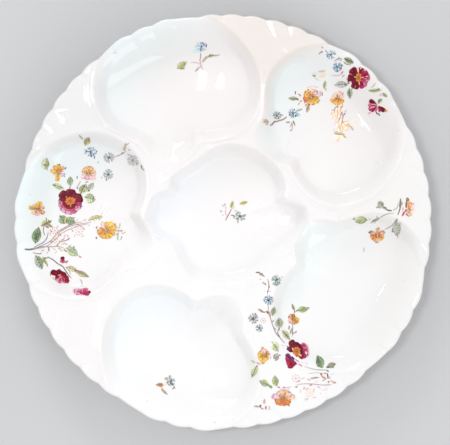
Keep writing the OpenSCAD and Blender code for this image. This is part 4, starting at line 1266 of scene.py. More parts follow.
brush.start("left_spray_stems")
washes([
    (-172, -12, 15, 7, 30, blend(blush, cream, 0.6), cream),
    (-170, -21, 14, 6, -15, blend(blush, cream, 0.6), cream)])
stems([
    ([(-200, -27.8), (-196, -28.2), (-192, -27.6)], 1.3, moss, plum),
    ([(-193, -28), (-188, -24.2), (-182.4, -21), (-179.2, -16.6), (-178, -10.5)], 0.6, moss, violet),
    ([(-192, -28), (-184, -24.4), (-176, -20), (-170.6, -14), (-164, -9), (-156, -4.8), (-146, -2.6),
     (-134, -0.6)], 0.5, plum, mauve),
    ([(-188, -27.6), (-180, -25.4), (-172, -19.4), (-165, -12.4), (-157, -8), (-147, -4.4),
     (-138, -2.4)], 0.42, mauve, mauve),
    ([(-170, -11.4), (-162, -6.4), (-154, -2.6), (-144, -0.4)], 0.6, mauve, taupe),
    ([(-192, -28.4), (-185, -25.8), (-176, -25.6), (-168, -25.4), (-160.6, -27.6)], 0.55, plum, taupe),
    ([(-192.4, -31.4), (-186, -32.6), (-184, -31.4)], 0.7, taupe, plum),
    ([(-178, -36), (-173.4, -38.4), (-168.4, -42.6), (-163.6, -45.2), (-160.6, -49.4), (-157.4, -54),
     (-154.4, -57.4)], 0.8, plum, moss), ([(-160.4, -46), (-157, -49.6), (-155.2, -53.6)], 0.5, moss, grey),
    ([(-181.4, -14), (-182.6, -9), (-181.8, -3)], 0.55, moss, mauve),
    ([(-177.4, -26), (-177, -30.4)], 0.7, plum, plum), ([(-155.6, 36), (-157, 31.6)], 0.7, moss, crimson),
    ([(-148.8, 46), (-149, 43)], 0.7, brown, brown), ([(-149.4, 34.4), (-148.4, 33)], 0.9, slate, violet),
    ([(-145.4, 40.6), (-147.6, 37), (-149.4, 33)], 0.5, mauve, mauve),
    ([(-111, 65), (-104, 67.6), (-99, 70.6)], 0.6, mauve, taupe),
    ([(-98, 68), (-94, 66), (-92, 64)], 0.5, mauve, slate),
    ([(-145.8, -58.4), (-144, -61), (-143.6, -65)], 0.5, mauve, mauve),
    ([(-172.4, -18.6), (-168.6, -16.2), (-167, -12)], 0.5, mauve, magenta),
    ([(-170, -24.4), (-165.4, -20.6), (-160, -19.2), (-157, -16.8)], 0.55, taupe, brown),
    ([(-150, -2.4), (-143, -6.6), (-141.8, -9)], 0.45, mauve, mauve)])
dabs([
    (-166, -13.6, 3, 0.7, 110, mauve), (-161.6, -14.4, 3.4, 0.6, 60, pink), (-154, -9.4, 3, 0.6, 120, mauve),
    (-150.4, -6.4, 3, 0.5, 40, tan), (-176, -12.6, 3, 0.6, 80, pink), (-168.4, -24, 3, 0.7, 60, mauve),
    (-163.4, -18, 4, 0.7, 30, mauve), (-160.4, -22.6, 4, 0.6, -20, taupe), (-172, -27.6, 4, 0.6, -30, tan),
    (-156.6, -24.6, 3.4, 0.6, 30, mauve), (-183, -29, 3, 0.6, 20, mauve), (-141.6, 1.6, 4, 0.6, 20, tan),
    (-157.6, -17.6, 2.6, 1.1, 60, mauve), (-162.8, -22.4, 4, 0.6, 20, tan),
    (-172.8, -16.6, 2.4, 0.6, 70, tan), (-166.6, -27.4, 3.4, 0.8, -20, taupe),
    (-160.6, -29.4, 4, 0.7, -30, plum), (-175.4, -9.4, 3.4, 0.6, 120, mauve),
    (-168.6, -5.6, 3, 0.6, 60, dusty), (-163, -11.4, 3, 0.6, 20, dusty),
    (-158.6, -14.6, 2.6, 0.6, 100, mauve), (-151.6, -14.4, 3, 0.5, 60, dusty),
    (-143.4, -14.6, 3, 0.5, 20, dusty), (-142.6, -7.4, 3, 0.5, 70, dusty), (-174.6, -20.4, 3, 0.6, 20, mauve),
    (-167, -20.6, 3, 0.6, 80, mauve), (-164.6, -29.6, 3.4, 0.6, 20, tan), (-170.4, -31, 3, 0.5, 60, dusty),
    (-149.4, 1.4, 3, 0.6, 60, tan), (-136.6, -3.4, 3, 0.5, 30, tan), (-178.6, -31.6, 2.6, 0.5, 80, dusty)])

brush.start("left_spray_berries")
berry(-171.4, -9.4, 3.6, plum, magenta)
berry(-171.6, -18.8, 3, mauve, magenta)
berry(-147.2, -10.6, 3.9, mauve, rust)

# Upper right spray

brush.start("upper_spray_roses")
petals(134, 143.6, [
    (4, 12, 7.6, ruby, pink), (332, 10.8, 7, magenta, pink), (126, 12.2, 8.6, wine, crimson),
    (68, 11, 7.6, crimson, wine), (44, 11.4, 7, ruby, magenta), (22, 11.4, 7.6, crimson, ruby),
    (352, 10, 7, crimson, ruby), (305, 11.6, 8.2, crimson, magenta), (178, 10.4, 8.2, wine, crimson),
    (251, 11, 8.6, wine, crimson), (218, 7.6, 5, crimson, wine)], 0.66, 0.06, slim=0.84)
dabs([(*from_middle(134, 143.6, r, a), n, 0.5, a, c) for r, a, n, c in (
    (8.6, 98, 4, blush), (8.4, 152, 3.4, pink), (8.6, 204, 3.6, blush), (8.6, 254, 3.4, pink),
    (8.8, 316, 3.6, blush), (8.8, 12, 3.4, blush), (8.6, 58, 3, pink), (9.6, 132, 2.4, magenta),
    (9.4, 178, 2.4, magenta), (9.6, 232, 2.4, magenta), (9.4, 344, 3, blush))])
dabs([
    (129, 151, 5, 0.7, 128, wine), (128.6, 144.4, 5, 0.7, 178, wine), (130.4, 137.4, 5, 0.7, 230, wine),
    (138, 151, 4.6, 0.6, 65, wine), (140.6, 146.8, 5, 0.6, 30, wine), (138.8, 137.2, 4.6, 0.6, -60, wine),
    (141, 142.4, 4, 0.8, -10, pink), (136.4, 153, 1.5, 1.2, 20, blush), (140.6, 151.6, 2, 1, -20, blush),
    (139.8, 135.6, 3, 0.8, -70, pink), (144, 143.8, 3.4, 0.8, 80, brown)])
gold_heart(134.5, 144.2, 3.4, 5.2, 0)
dabs([
    (133.8, 151.2, 4.4, 1, 88, peach), (135.4, 138.6, 3, 0.8, 275, peach), (130.8, 145, 2, 0.7, 180, peach),
    (138.2, 144.4, 2.6, 0.8, 10, blush)])
petals(154, 116.4, [
    (148, 10, 5, crimson, wine), (172, 9.6, 5, ruby, pink), (205, 9.6, 5.4, ruby, magenta),
    (222, 8.6, 4, crimson, magenta), (255, 6.6, 2.6, pink, blush), (318, 9.4, 4.8, crimson, wine),
    (290, 6.8, 2.6, magenta, ruby)], 0.55, 0.04, slim=0.8)
dabs([
    (148.4, 119.8, 6, 0.8, -32, wine), (149, 114.4, 6, 0.7, 14, blush), (150.2, 117.4, 5, 0.6, 0, blush),
    (153.2, 109, 3, 0.8, -60, wine), (155.4, 107.6, 3.4, 0.8, -55, violet), (152.6, 112, 3, 0.6, -110, wine),
    (158.6, 112.8, 5, 0.7, -42, wine), (162, 111, 3, 1.4, -10, orange), (145.2, 118.4, 2.2, 0.8, 60, lilac),
    (146.2, 109, 3, 0.8, 20, pink), (157, 126.8, 3.4, 2, 20, lilac)])

brush.start("upper_spray_orange_blossoms")
washes([
    (97, 130.6, 6, 9, 20, blush, cream), (86, 132.6, 14, 6, 12, bisque, cream),
    (75.4, 127.2, 4.4, 4, 30, blush, cream), (77, 121.2, 4, 4, 0, bisque, cream)])
blossom(87.6, 125.6, [
    (158, 8, 5.4, gold, yellow), (120, 8.6, 5.4, orange, peach), (82, 8.6, 6, peach, bisque),
    (50, 9, 5.6, peach, blush), (22, 11, 6, blush, lilac), (205, 8.4, 5, orange, tone(224, 116, 84)),
    (250, 7.6, 5.6, gold, yellow), (285, 8.4, 5.4, gold, gold), (330, 9.4, 6.4, gold, yellow),
    (350, 8, 4.4, orange, gold)], grow=1.05)
dabs([(*from_middle(87.6, 125.6, r, a), 1.7, 0.75, a + t, c) for r, a, t, c in (
    (7.4, 160, 80, brown), (7.8, 140, 70, brown), (8.2, 112, 80, brown), (5.2, 150, 0, amber),
    (4.6, 120, 0, burnt), (5.6, 96, 0, burnt), (4.8, 70, 0, burnt), (6.4, 56, 0, rust), (5, 30, 0, amber),
    (7.6, 30, 60, brown), (6.2, 345, 85, brown), (8.6, 325, 80, brown), (9, 340, 80, olive),
    (5, 322, 0, amber), (5.4, 290, 0, amber), (7.6, 282, 85, brown), (5, 255, 0, amber),
    (7.4, 250, 80, brown), (6.2, 215, 0, rust), (7.8, 205, 80, rust), (4.6, 185, 0, burnt),
    (2.2, 90, 0, brown), (2.4, 20, 0, brown), (2, 200, 0, amber))])
dots(brown, [
    (81.6, 130.8, 0.9), (83.6, 128.4, 0.7), (93.4, 131.4, 0.9), (86, 117.9, 0.7), (91.2, 122.4, 0.8)])
dabs([
    (86, 135.4, 6, 0.5, 15, lilac), (92.4, 136, 5, 0.5, -10, lilac), (98.6, 129, 4, 0.6, -80, plum),
    (81.4, 121.6, 4.4, 1.2, 75, tone(218, 96, 72)), (80.4, 125.2, 3.4, 0.9, 60, rust),
    (82.4, 117.8, 2.6, 0.8, 50, rust)])
washes([(116.6, 129.4, 8, 6, 30, blush, cream), (117.3, 114.6, 4, 9, 0, bisque, cream)])
blossom(114, 123.8, [
    (200, 6.4, 5, orange, yellow), (236, 5.4, 4.4, gold, yellow), (160, 5.4, 4, peach, bisque),
    (332, 6.4, 5, orange, gold), (290, 5.8, 4.6, gold, yellow), (110, 5.6, 4.4, peach, bisque),
    (68, 7, 5, peach, blush), (30, 6.4, 4.4, peach, blush)], grow=1.18)
dabs([
    (113.8, 127, 3.6, 0.9, 95, brown), (115.6, 124.4, 4, 0.9, 150, amber), (112, 122.8, 3.6, 0.9, 20, amber),
    (115.4, 120.6, 3.4, 0.8, -70, burnt), (110.4, 121.6, 3.4, 0.7, 40, amber),
    (118, 122.6, 3.4, 0.8, -20, burnt), (119.4, 129, 3, 0.6, 70, mauve), (116.6, 131.4, 3, 0.5, 20, pink),
    (114.4, 117.6, 3.4, 0.7, -80, orange)])
dots(brown, [(113.6, 124.6, 0.8), (115.2, 123.2, 0.6)])

brush.start("upper_spray_blue_florets")
washes([
    (99, 147, 13, 8, 20, blend(lilac, cream, 0.5), cream), (91, 149, 8, 5, 0, ice, cream),
    (105.6, 165.2, 6.4, 4, -10, ice, cream), (112.6, 152.6, 5, 5, 0, ice, cream),
    (74.2, 107.8, 5.4, 4.4, -10, blue, ice)])
floret(106.6, 167, 5.4, 4.6, 15, ice, blue, navy)
floret(113.4, 155, 4.6, 5.2, 50, blue, tone(84, 136, 156), tone(52, 96, 120))
dabs([
    (117.8, 156, 2.4, 0.8, 40, slate), (117, 153.6, 2, 0.7, -20, slate),
    (113, 151.6, 3, 0.9, 80, tone(70, 122, 146)), (103.6, 166, 2.4, 0.8, 60, navy),
    (110.2, 168, 2, 0.7, 20, slate)])
floret(69.2, 109.2, 5.4, 5, 10, ice, slate, navy)
dots(navy, [(66, 108.4, 0.9), (69, 106.4, 0.8), (72.1, 107.2, 1), (70.6, 113, 0.7)])
floret(53, 107, 4.6, 4.4, 30, mist, slate, navy)
dots(navy, [(54.2, 109, 0.7), (51.4, 104.4, 0.6), (54, 103.9, 0.7)])

brush.start("upper_spray_leaves")
leaf(124.6, 160.8, 10.6, 5, -27, olive, green, pine)
dabs([
    (122.2, 162, 3, 1.1, -40, pine), (127.6, 160.4, 3.4, 0.9, -25, moss), (120.8, 162.8, 1.8, 1.2, 30, plum),
    (113.6, 163, 4, 0.8, 50, olive), (116.4, 161.6, 2.4, 0.7, 0, grey)])
leaf(117.8, 138, 13.5, 6, 4, sage, mist, grey)
dabs([
    (122.4, 137.6, 2.6, 1.2, -20, moss), (124.8, 139.6, 2.6, 1.1, -60, pine),
    (123.2, 142.8, 3.4, 0.6, 110, grey)])
leaf(126.4, 129.4, 10, 5, -84, sage, green, moss)
dabs([(126.8, 125.2, 2.4, 1, -85, plum), (128.4, 133.6, 3, 0.7, 50, grass)])
leaf(101.4, 138, 8.4, 4, 82, fern, pear, green)
dabs([(102.6, 133.4, 3, 0.8, -80, taupe)])
leaf(69.8, 124.2, 10.4, 4.4, -2, sage, olive, green)
dabs([
    (73.6, 123.4, 3, 1, -25, plum), (71.8, 130, 3, 0.8, 85, plum), (76, 127.6, 3.6, 1, -35, mauve),
    (77, 121.6, 3, 0.9, 40, mauve), (75.2, 118.6, 2.4, 0.7, 50, mauve)])
leaf(151, 131.2, 13, 4, 3, lime, fern, green)
dabs([
    (146.6, 131.2, 3.4, 1.1, 10, green), (153.4, 132.6, 4.4, 0.6, 10, pine), (148.4, 134.8, 3, 0.4, 30, grey),
    (150.4, 137, 3, 0.4, 50, grey)])
leaf(160.6, 126.6, 6.4, 3.8, -45, lime, grass, green)
leaf(156, 121, 5.4, 4, 35, grass, lime, green)
dabs([(154.8, 119.2, 2.4, 1.2, 60, olive)])
leaf(98.4, 151.4, 7, 3, 8, pear, mist)
leaf(90.4, 146.8, 4.6, 2.8, 160, mist, grey)
dabs([(93.4, 143.6, 5, 0.6, -30, mist), (90, 147, 2, 1, 20, grey)])

brush.start("upper_spray_tips")
leaf(84.4, 114, 8.4, 4, -105, tan, olive, taupe)
dabs([(84.8, 117, 2.2, 1, 80, brown), (83.2, 112.6, 3, 0.6, 80, taupe)])
leaf(75.8, 112.8, 6.4, 3, 15, mist, sage, grey)
leaf(41.8, 99.8, 6.4, 4.8, 10, tan, bisque, taupe)
dabs([
    (40.2, 102.2, 4, 0.5, 10, taupe), (42.6, 97.6, 3, 0.8, 0, taupe), (48, 98.4, 5.4, 1.5, 42, mauve),
    (50, 100.6, 3, 0.8, 50, plum)])
leaf(57.6, 107, 4.4, 2.6, 20, sage, mist)
dabs([
    (64.4, 100.4, 3.4, 1, 5, brown), (62.8, 100.2, 2, 0.7, 20, taupe), (70.4, 99.8, 4.4, 1, -65, brown),
    (71, 97.6, 3, 0.6, -70, taupe), (68, 96.6, 8, 0.6, 92, taupe), (67.4, 92, 2.2, 1.2, 20, grey),
    (67, 97.4, 4, 0.5, 70, mauve)])
washes([
    (120, 97.4, 12, 14, 60, blend(bisque, cream, 0.5), cream),
    (109, 108, 6, 8, 0, blend(bisque, cream, 0.5), cream)])
dabs([
    (117, 113.6, 6, 0.8, 85, orange), (118.6, 116.4, 4, 0.7, 70, rust), (111, 111.4, 4, 0.7, 75, grey),
    (109.6, 106.4, 4.4, 0.9, 80, peach), (108.2, 109, 3.4, 0.6, 60, taupe), (114.6, 107, 4.4, 0.6, 85, tan),
    (120, 105.8, 4, 0.8, 70, mauve), (121.4, 108.8, 2.6, 0.8, 40, plum), (114, 115.6, 2.6, 0.7, -30, slate),
    (119, 101.6, 5, 0.6, 80, mauve), (117.4, 97.4, 5.4, 1.1, 70, peach), (121, 97.6, 5, 0.8, 100, peach),
    (122.4, 111.6, 3, 0.6, 40, sage), (112.4, 103, 3, 0.5, 80, bisque)])
leaf(127.4, 95.4, 9.4, 3.6, -46, tan, pear, taupe)
washes([
    (113.5, 109, 8, 12, 10, blend(yellow, cream, 0.6), cream),
    (118, 95, 10, 12, 30, blend(peach, cream, 0.5), cream),
    (116.5, 86, 12, 7, 0, blend(yellow, cream, 0.7), cream),
    (128, 98, 8, 7, 0, blend(peach, cream, 0.6), cream)])
dabs([
    (111.6, 114.4, 4, 0.8, 60, amber), (114.8, 111, 5, 0.8, 100, orange), (117.6, 108.6, 4.4, 0.8, 80, rust),
    (109.6, 112.6, 3, 0.7, 20, taupe), (112.6, 105.6, 4, 0.8, 110, peach), (116.4, 103.4, 5, 0.8, 70, amber),
    (119.8, 99.6, 4.4, 0.9, 50, tan), (115, 99.4, 5, 0.8, 120, peach), (122.6, 101.4, 4, 0.7, 20, tan),
    (119.4, 94.8, 5, 0.9, 95, yellow), (114.6, 94.6, 4, 0.8, 60, peach), (123.6, 96.4, 4, 0.7, 130, orange),
    (111.6, 98.2, 4, 0.6, 20, bisque), (125.6, 102.6, 3, 0.6, 60, bisque), (118, 90.8, 4, 0.7, 30, tan),
    (110.4, 92.4, 3, 0.6, 60, bisque)])
leaf(116.4, 88.6, 11, 3, -4, tan, olive, taupe)
leaf(121, 86.4, 6, 2.6, -40, pear, tan, taupe)
dabs([
    (115, 83, 5, 0.9, 50, peach), (123.6, 92.8, 4, 0.8, 20, peach), (125, 98.6, 3.4, 0.7, 30, tan),
    (113, 90.4, 4, 0.5, 15, taupe)])
leaf(97.2, 169.6, 3, 2.2, 20, grey, taupe)
dots(grey, [(97.8, 174, 0.8), (95.2, 168.2, 0.8), (101.6, 170.6, 0.7)])
dabs([(118.4, 149.4, 3.4, 0.9, 60, mauve), (116, 151.6, 3, 0.6, 30, pink), (119.6, 146, 3, 0.6, 40, mauve)])

brush.start("upper_spray_stems")
stems([
    ([(49, 99.8), (55, 101.6), (60, 103.4), (63, 106)], 1.1, mauve, mauve),
    ([(112, 101), (115.4, 99), (116.4, 92)], 0.5, tan, tan),
    ([(119, 111), (119.6, 104), (117.4, 97), (117.6, 91)], 0.6, mauve, tan),
    ([(119.4, 160), (122, 157.6), (127, 156.6)], 0.6, plum, mauve),
    ([(110, 160.6), (113.4, 162.6), (118, 163)], 0.5, olive, plum),
    ([(117.4, 147.6), (113, 146.8), (108, 147.4)], 0.5, mauve, lilac)])

# Right spray

brush.start("right_spray_orange_blossoms")
washes([(187.6, 15, 7, 13, 0, blush, cream), (179.4, 9.4, 7, 7, 0, blush, cream)])
blossom(184, 11, [
    (92, 10.4, 4.8, orange, peach), (70, 9, 4.4, peach, orange), (275, 6, 5, peach, bisque),
    (245, 5.6, 4, peach, blush), (305, 6, 4.4, bisque, peach)])
washes([(183.2, 22, 3.4, 3.6, 0, olive, brown)])
dabs([
    (182.5, 17.4, 8, 1.2, 82, brown), (185.4, 13, 5, 0.8, 80, burnt), (178.6, 7.4, 4.4, 1.4, 70, magenta),
    (180.4, 9, 3.4, 0.9, 60, plum), (182.8, 7, 3, 1.1, 100, rust), (188.2, 17.4, 3.6, 1, 0, taupe),
    (187.4, 11.4, 3, 1, 60, peach), (184.4, 5.6, 2.6, 0.8, -60, pink), (178.4, 12.6, 3.4, 0.7, 75, pink),
    (181.4, 10.6, 2.6, 0.7, 60, ruby), (186.6, 7.8, 3.4, 0.8, 80, peach), (178, 17.8, 3.4, 0.6, 80, mauve)])
blossom(154.4, -14.2, [
    (188, 7.2, 5.4, orange, orange), (152, 8.4, 4.4, peach, grey), (90, 7.6, 5, orange, peach),
    (30, 7.6, 4.6, peach, taupe), (355, 6.4, 5, orange, peach), (318, 6.6, 5, orange, yellow),
    (268, 7.6, 4.6, peach, tan), (228, 6.6, 5, orange, orange)], grow=1.08)
dabs([
    (146.8, -10.6, 3.4, 1.3, 30, plum), (160.8, -11, 3, 1.2, -40, mauve), (155.1, -6.9, 2.8, 1.2, 20, grey),
    (153.2, -14, 5.6, 0.8, 92, rust), (156.6, -13.4, 5.4, 0.8, 80, rust), (154.8, -15.4, 3.4, 0.8, 10, burnt),
    (158.4, -16, 3.4, 0.7, -20, rust), (150.2, -13.8, 2.6, 1.2, 20, rust), (157.8, -10.4, 3, 0.7, 45, rust),
    (153.6, -20.4, 3, 0.9, 85, taupe), (149.6, -17.4, 3, 0.6, 40, burnt), (148.8, -12, 3, 0.5, 60, mauve)])

brush.start("right_spray_leaves")
leaf(137.6, 1.2, 12.6, 7.6, 2, lime, fern)
dabs([
    (129.9, 2.6, 3, 1.7, 30, grey), (142, 2, 3.4, 1.6, -40, grass), (136.2, -0.8, 3, 1.4, 50, green),
    (138.6, 3.2, 3.4, 1, 20, fern), (133, -0.6, 3, 0.9, -20, olive), (140.4, -1, 3, 1, 30, green),
    (145.8, 2, 2.4, 1, 0, mist)])
leaf(152, 1.2, 9.4, 3.2, 27, grey, sage, moss)
dabs([
    (152.4, 1.8, 7, 0.8, 25, moss), (153.4, 3.8, 2.4, 0.8, -30, grey), (151.6, -1, 2.4, 0.9, 60, lime),
    (148.6, -1.2, 3, 0.9, 40, sage)])
leaf(156.4, 16.6, 8, 6.4, 130, sage, olive, grey)
dabs([
    (153.6, 14, 3.4, 0.9, 10, moss), (158.6, 17, 3, 1, 80, moss), (160.4, 13.2, 4.4, 1.7, -20, moss),
    (156, 19.6, 3.6, 0.6, 20, grey)])
leaf(175.8, 18.4, 9, 2.2, 84, olive, lime, moss)
leaf(172.8, -7.4, 16, 7.4, -76, sage, mist, moss, moss, 0.04, 4)
dabs([
    (169.2, -9.2, 3.8, 1.2, 80, moss), (172, -0.6, 5, 1.4, 86, grey), (176.4, -2.2, 3.4, 1.8, -50, mist),
    (173.2, -6.4, 5, 0.7, -65, cream), (173.4, -10, 5, 0.7, -60, cream), (174.2, -13.6, 3.4, 1.2, -80, grey),
    (174.6, -16.6, 2.6, 1.2, 20, blush), (140.6, -28.6, 4.4, 1.5, 85, blend(taupe, cream, 0.5))])

brush.start("right_spray_stems")
stems([
    ([(176.4, 23), (176.6, 17), (175.4, 11.6), (173.4, 6.4)], 0.85, moss, plum),
    ([(174, 18.4), (172.6, 13.6), (168.4, 11)], 0.5, taupe, mauve),
    ([(161, 12.6), (164, 11.2), (167.6, 10.6)], 1.1, moss, plum),
    ([(156, 3.4), (160, 6.2), (164.6, 7.8), (170, 8)], 0.6, moss, sage),
    ([(171.8, 2), (169.4, -3.2), (165.6, -6.2), (161.6, -8.4)], 0.8, taupe, taupe),
    ([(172.6, 3), (173, -1)], 0.9, grey, grey)])

# Lower spray

brush.start("lower_spray_roses")
washes([(81.6, -129, 8, 15, 20, pink, blush)])
petals(72.4, -130.4, [
    (34, 11.6, 7, magenta, pink), (3, 12, 8, ruby, pink), (335, 11.4, 6.4, ruby, magenta)], 0.45, 0.04, 5)
petals(72.4, -130.4, [
    (120, 12.4, 7.6, wine, crimson), (92, 9, 7, crimson, wine), (62, 8, 7, wine, crimson),
    (28, 7.6, 6.6, crimson, wine), (350, 8.4, 6.6, wine, crimson), (318, 10, 6.4, wine, ruby),
    (164, 10.6, 5.6, wine, crimson), (143, 8, 5, ruby, crimson), (290, 5, 5, crimson, ruby)], 0.45, 0.04)
dabs([
    (66.6, -122.8, 6, 0.8, -50, wine), (74, -124.8, 6, 0.8, -45, wine), (78.6, -132, 6, 0.8, -70, wine),
    (64, -128.2, 4, 0.8, -20, violet), (80.6, -125.4, 3, 0.9, -40, ruby), (82.4, -129.6, 4, 0.7, -60, ruby),
    (83.4, -134, 3, 0.8, -80, violet), (79.8, -124, 2.6, 0.7, 20, brown)])
gold_heart(72.4, -130.4, 4.4, 4.9, -20)
dabs([
    (68.6, -128.6, 3.4, 1.4, 110, peach), (76, -133.8, 3.6, 1.5, -40, peach),
    (74.4, -135.4, 2.4, 1, -60, orange)])
petals(66.4, -139.2, [
    (150, 6, 5.6, ruby, magenta), (190, 5, 5, ruby, ruby), (268, 8.4, 6.8, crimson, ruby),
    (238, 6, 5.4, ruby, magenta), (306, 6.8, 5.6, ruby, crimson), (122, 8, 5, crimson, violet),
    (50, 4.6, 4.4, violet, crimson)], 0.4, 0.04, -1.5)
dabs([
    (65.4, -134.6, 4, 1, -40, violet), (68.6, -139, 5, 1, -50, violet), (73.6, -139.2, 5, 1.1, -28, violet),
    (75.8, -144.2, 4.4, 1, -35, pink), (66.6, -144.6, 3.4, 0.8, 75, wine),
    (62.6, -137.6, 3.4, 0.8, 150, magenta), (71.4, -142, 3.4, 0.8, -60, ruby),
    (77.6, -141, 3.4, 0.8, -30, lilac)])
# A painted highlight along the well's lip: a near-white stroke across the rose, with a lilac dab at each end
line([
    (58.6, -126.4), (64.6, -131.4), (71.4, -137),
    (80, -143.6)], 1.25, tone(250, 242, 250), None, (0.4, 0.3), 16, line_lift + 0.05)
dabs([(58.4, -124.6, 3, 0.7, -30, lilac), (82, -142, 3.4, 0.6, -30, lilac)])

brush.start("lower_spray_orange_blossoms")
washes([
    (40.6, -129, 9, 6, -20, blush, cream), (45.4, -134.4, 4, 5, 0, blush, cream),
    (34.6, -142.4, 6, 4, -20, blush, cream)])
blossom(39, -134.4, [
    (178, 5.6, 5.6, yellow, gold), (222, 6, 5, yellow, yellow), (268, 7.4, 5.6, gold, yellow),
    (310, 6, 5, yellow, gold), (350, 5, 4.6, gold, orange), (30, 6.4, 4.4, orange, peach),
    (75, 6.4, 4.6, blush, peach), (130, 5.6, 5, yellow, yellow), (100, 8.4, 4, blush, peach)], grow=1.1)
dabs([
    (42.2, -131.6, 3.6, 1, 80, brown), (41.6, -135, 3.2, 1, 95, brown), (39.4, -134.6, 4, 0.9, 40, amber),
    (36.2, -133, 3.4, 0.7, 120, amber), (38, -137.6, 3, 0.8, 80, amber), (36.8, -135.8, 3, 0.7, 20, amber),
    (44.6, -133.2, 3, 0.7, 10, rust), (38, -127.6, 3, 0.7, 60, rust), (33.8, -142.4, 4, 0.8, -30, taupe),
    (38.6, -142, 2.6, 1, 20, grey), (36, -129.8, 3, 0.5, 40, slate), (46.4, -137, 2.6, 0.5, 70, pink)])
blossom(69.4, -98.6, [
    (350, 6.6, 5.4, gold, yellow), (318, 6.4, 5, amber, gold), (20, 4.4, 4.4, gold, yellow),
    (92, 5.6, 4.6, orange, amber), (135, 6, 4.4, peach, orange), (205, 5.6, 5, peach, blush),
    (240, 5.4, 4.4, blush, peach), (280, 5.4, 4.6, gold, orange)])
dabs([
    (68.2, -95.6, 3.6, 0.9, 40, brown), (70.4, -95.2, 3, 0.9, -60, brown), (68.6, -99.6, 4.4, 0.9, 95, brown),
    (72, -99.4, 3.6, 0.9, -20, amber), (71, -103, 3, 0.8, -100, rust), (64.8, -96.6, 2.6, 0.9, 85, plum),
    (66, -101.6, 3, 0.6, 40, rust), (73.4, -101.4, 2.6, 0.7, 30, amber)])
washes([
    (50, -175.4, 7.4, 6, 15, lilac, blush), (68.6, -175.6, 9, 6, -20, bisque, cream),
    (58, -169.6, 8, 4.4, 0, bisque, cream)])
blossom(58.4, -177, [
    (168, 10.6, 5.4, blush, lilac), (130, 8, 5.4, peach, bisque), (100, 8.4, 5.6, peach, bisque),
    (66, 8.6, 5.6, orange, peach), (32, 9.6, 5.4, peach, bisque), (8, 12, 5.4, peach, blush),
    (200, 9, 4.6, orange, burnt), (215, 9.6, 5.6, orange, burnt), (240, 8.6, 5.6, burnt, orange),
    (268, 8, 6, burnt, orange), (296, 8.4, 6, burnt, orange), (322, 9.4, 5.6, orange, burnt),
    (345, 9, 4.6, gold, orange)])
outlined(58.4, -177, [
    (168, 10.8, 5), (130, 8.4, 4.6), (100, 8.8, 5), (66, 9, 5), (32, 10, 5), (8, 12.2, 4.6)], mauve, 0.3)
dabs([
    (55, -181.4, 5.6, 1.2, 175, copper), (60.6, -182.4, 6, 1.2, -10, copper),
    (63.8, -184, 3.4, 1, -30, brown), (57, -178.4, 4.4, 0.8, 10, amber), (62, -178.6, 4, 0.8, -15, amber),
    (52, -179, 3, 0.8, 150, burnt), (55.6, -174.4, 3.4, 0.7, 110, rust), (60.8, -173.6, 3.6, 0.7, 70, rust),
    (65.6, -175.4, 3, 0.7, 30, rust), (58.4, -171.4, 3, 0.6, 90, orange), (64.4, -171, 2.4, 0.7, -30, plum),
    (48.4, -175.6, 3, 0.6, 0, pink)])

brush.start("lower_spray_blue_florets")
washes([
    (51.6, -58.6, 9, 9, 0, ice, cream), (57.6, -56, 5, 3.4, 40, mist, cream),
    (38.4, -79, 3.4, 4, 0, ice, cream), (48.4, -78.6, 4, 5, 0, ice, cream)])
floret(51.8, -59.4, 5, 5.6, 20, sage, tone(120, 146, 146), slate)
dabs([
    (52.4, -58.2, 3, 1.4, 40, slate), (48.6, -57, 4, 0.9, 80, tone(136, 164, 164)),
    (52.4, -63.4, 3, 0.8, 90, slate), (55, -61.4, 2.6, 0.8, 60, slate)])
floret(44, -79, 5.4, 5.4, 12, ice, slate, navy, 7)
dots(navy, [
    (42.2, -76.2, 0.6), (45.9, -76.6, 0.55), (41.8, -81.6, 0.6), (46, -81.4, 0.7), (44.2, -79, 0.8),
    (40, -79, 0.5), (48, -78.8, 0.5)])
floret(29, -97.4, 5.2, 5.8, 25, mist, grey, navy, 6)
dabs([
    (31.6, -96, 3, 0.9, 70, violet), (28.4, -98.6, 3.6, 0.9, 20, navy), (31, -93, 2.6, 0.9, 80, slate),
    (33, -99.4, 2.2, 0.8, 0, plum)])
floret(35, -107, 4, 4.2, 0, mist, slate, navy)
dots(navy, [(33, -105.6, 0.6), (36.4, -108.6, 0.7), (34.8, -106.6, 0.6)])

brush.start("lower_spray_leaves")
leaf(49.2, -90.4, 9.4, 5, 78, fern, sage, green)
dabs([(49.6, -88.6, 4.4, 1.1, 84, green)])
leaf(55.2, -102.2, 10.6, 8, 96, sage, tone(190, 198, 172), green)
dabs([(54.4, -100.6, 6, 1, 80, moss), (57.4, -104, 4, 0.9, 80, olive), (54.6, -108.2, 2.4, 1.1, 85, plum)])
leaf(79, -89, 11.4, 6, 6, lime, fern, green)
dabs([(84.2, -87.4, 3, 1.8, 10, grey), (73.8, -90.2, 4, 1, 20, moss), (79.6, -87.8, 5, 1.1, 10, green)])
leaf(69.4, -86.6, 7.4, 3.2, 112, olive, fern, plum)
leaf(61.8, -114, 12, 5.4, -47, lime, tone(222, 208, 168), moss)
dabs([(62.8, -115.4, 3.4, 1.1, -50, plum), (60, -112.6, 4, 0.9, -45, moss), (65, -118.2, 3, 0.8, -40, olive)])
leaf(50.6, -125.4, 12, 7.4, -58, pear, lime, fern)
dabs([
    (51.4, -126, 6, 1.3, -55, green), (49, -123.4, 4, 0.8, -70, lime), (53.2, -129.2, 3, 1, -30, grey),
    (47.4, -121.4, 3, 0.6, -40, pear)])
leaf(51.8, -135.8, 6.4, 5.6, -150, grey, mist, taupe)
dabs([
    (50, -134.6, 3, 1, 60, plum), (55.4, -134.2, 1.6, 1, 0, plum), (52.6, -133, 3, 0.7, 10, mauve),
    (51.8, -138.8, 3.4, 0.8, 20, grey)])
leaf(29.8, -151, 14, 5, -112, lime, pear, green)
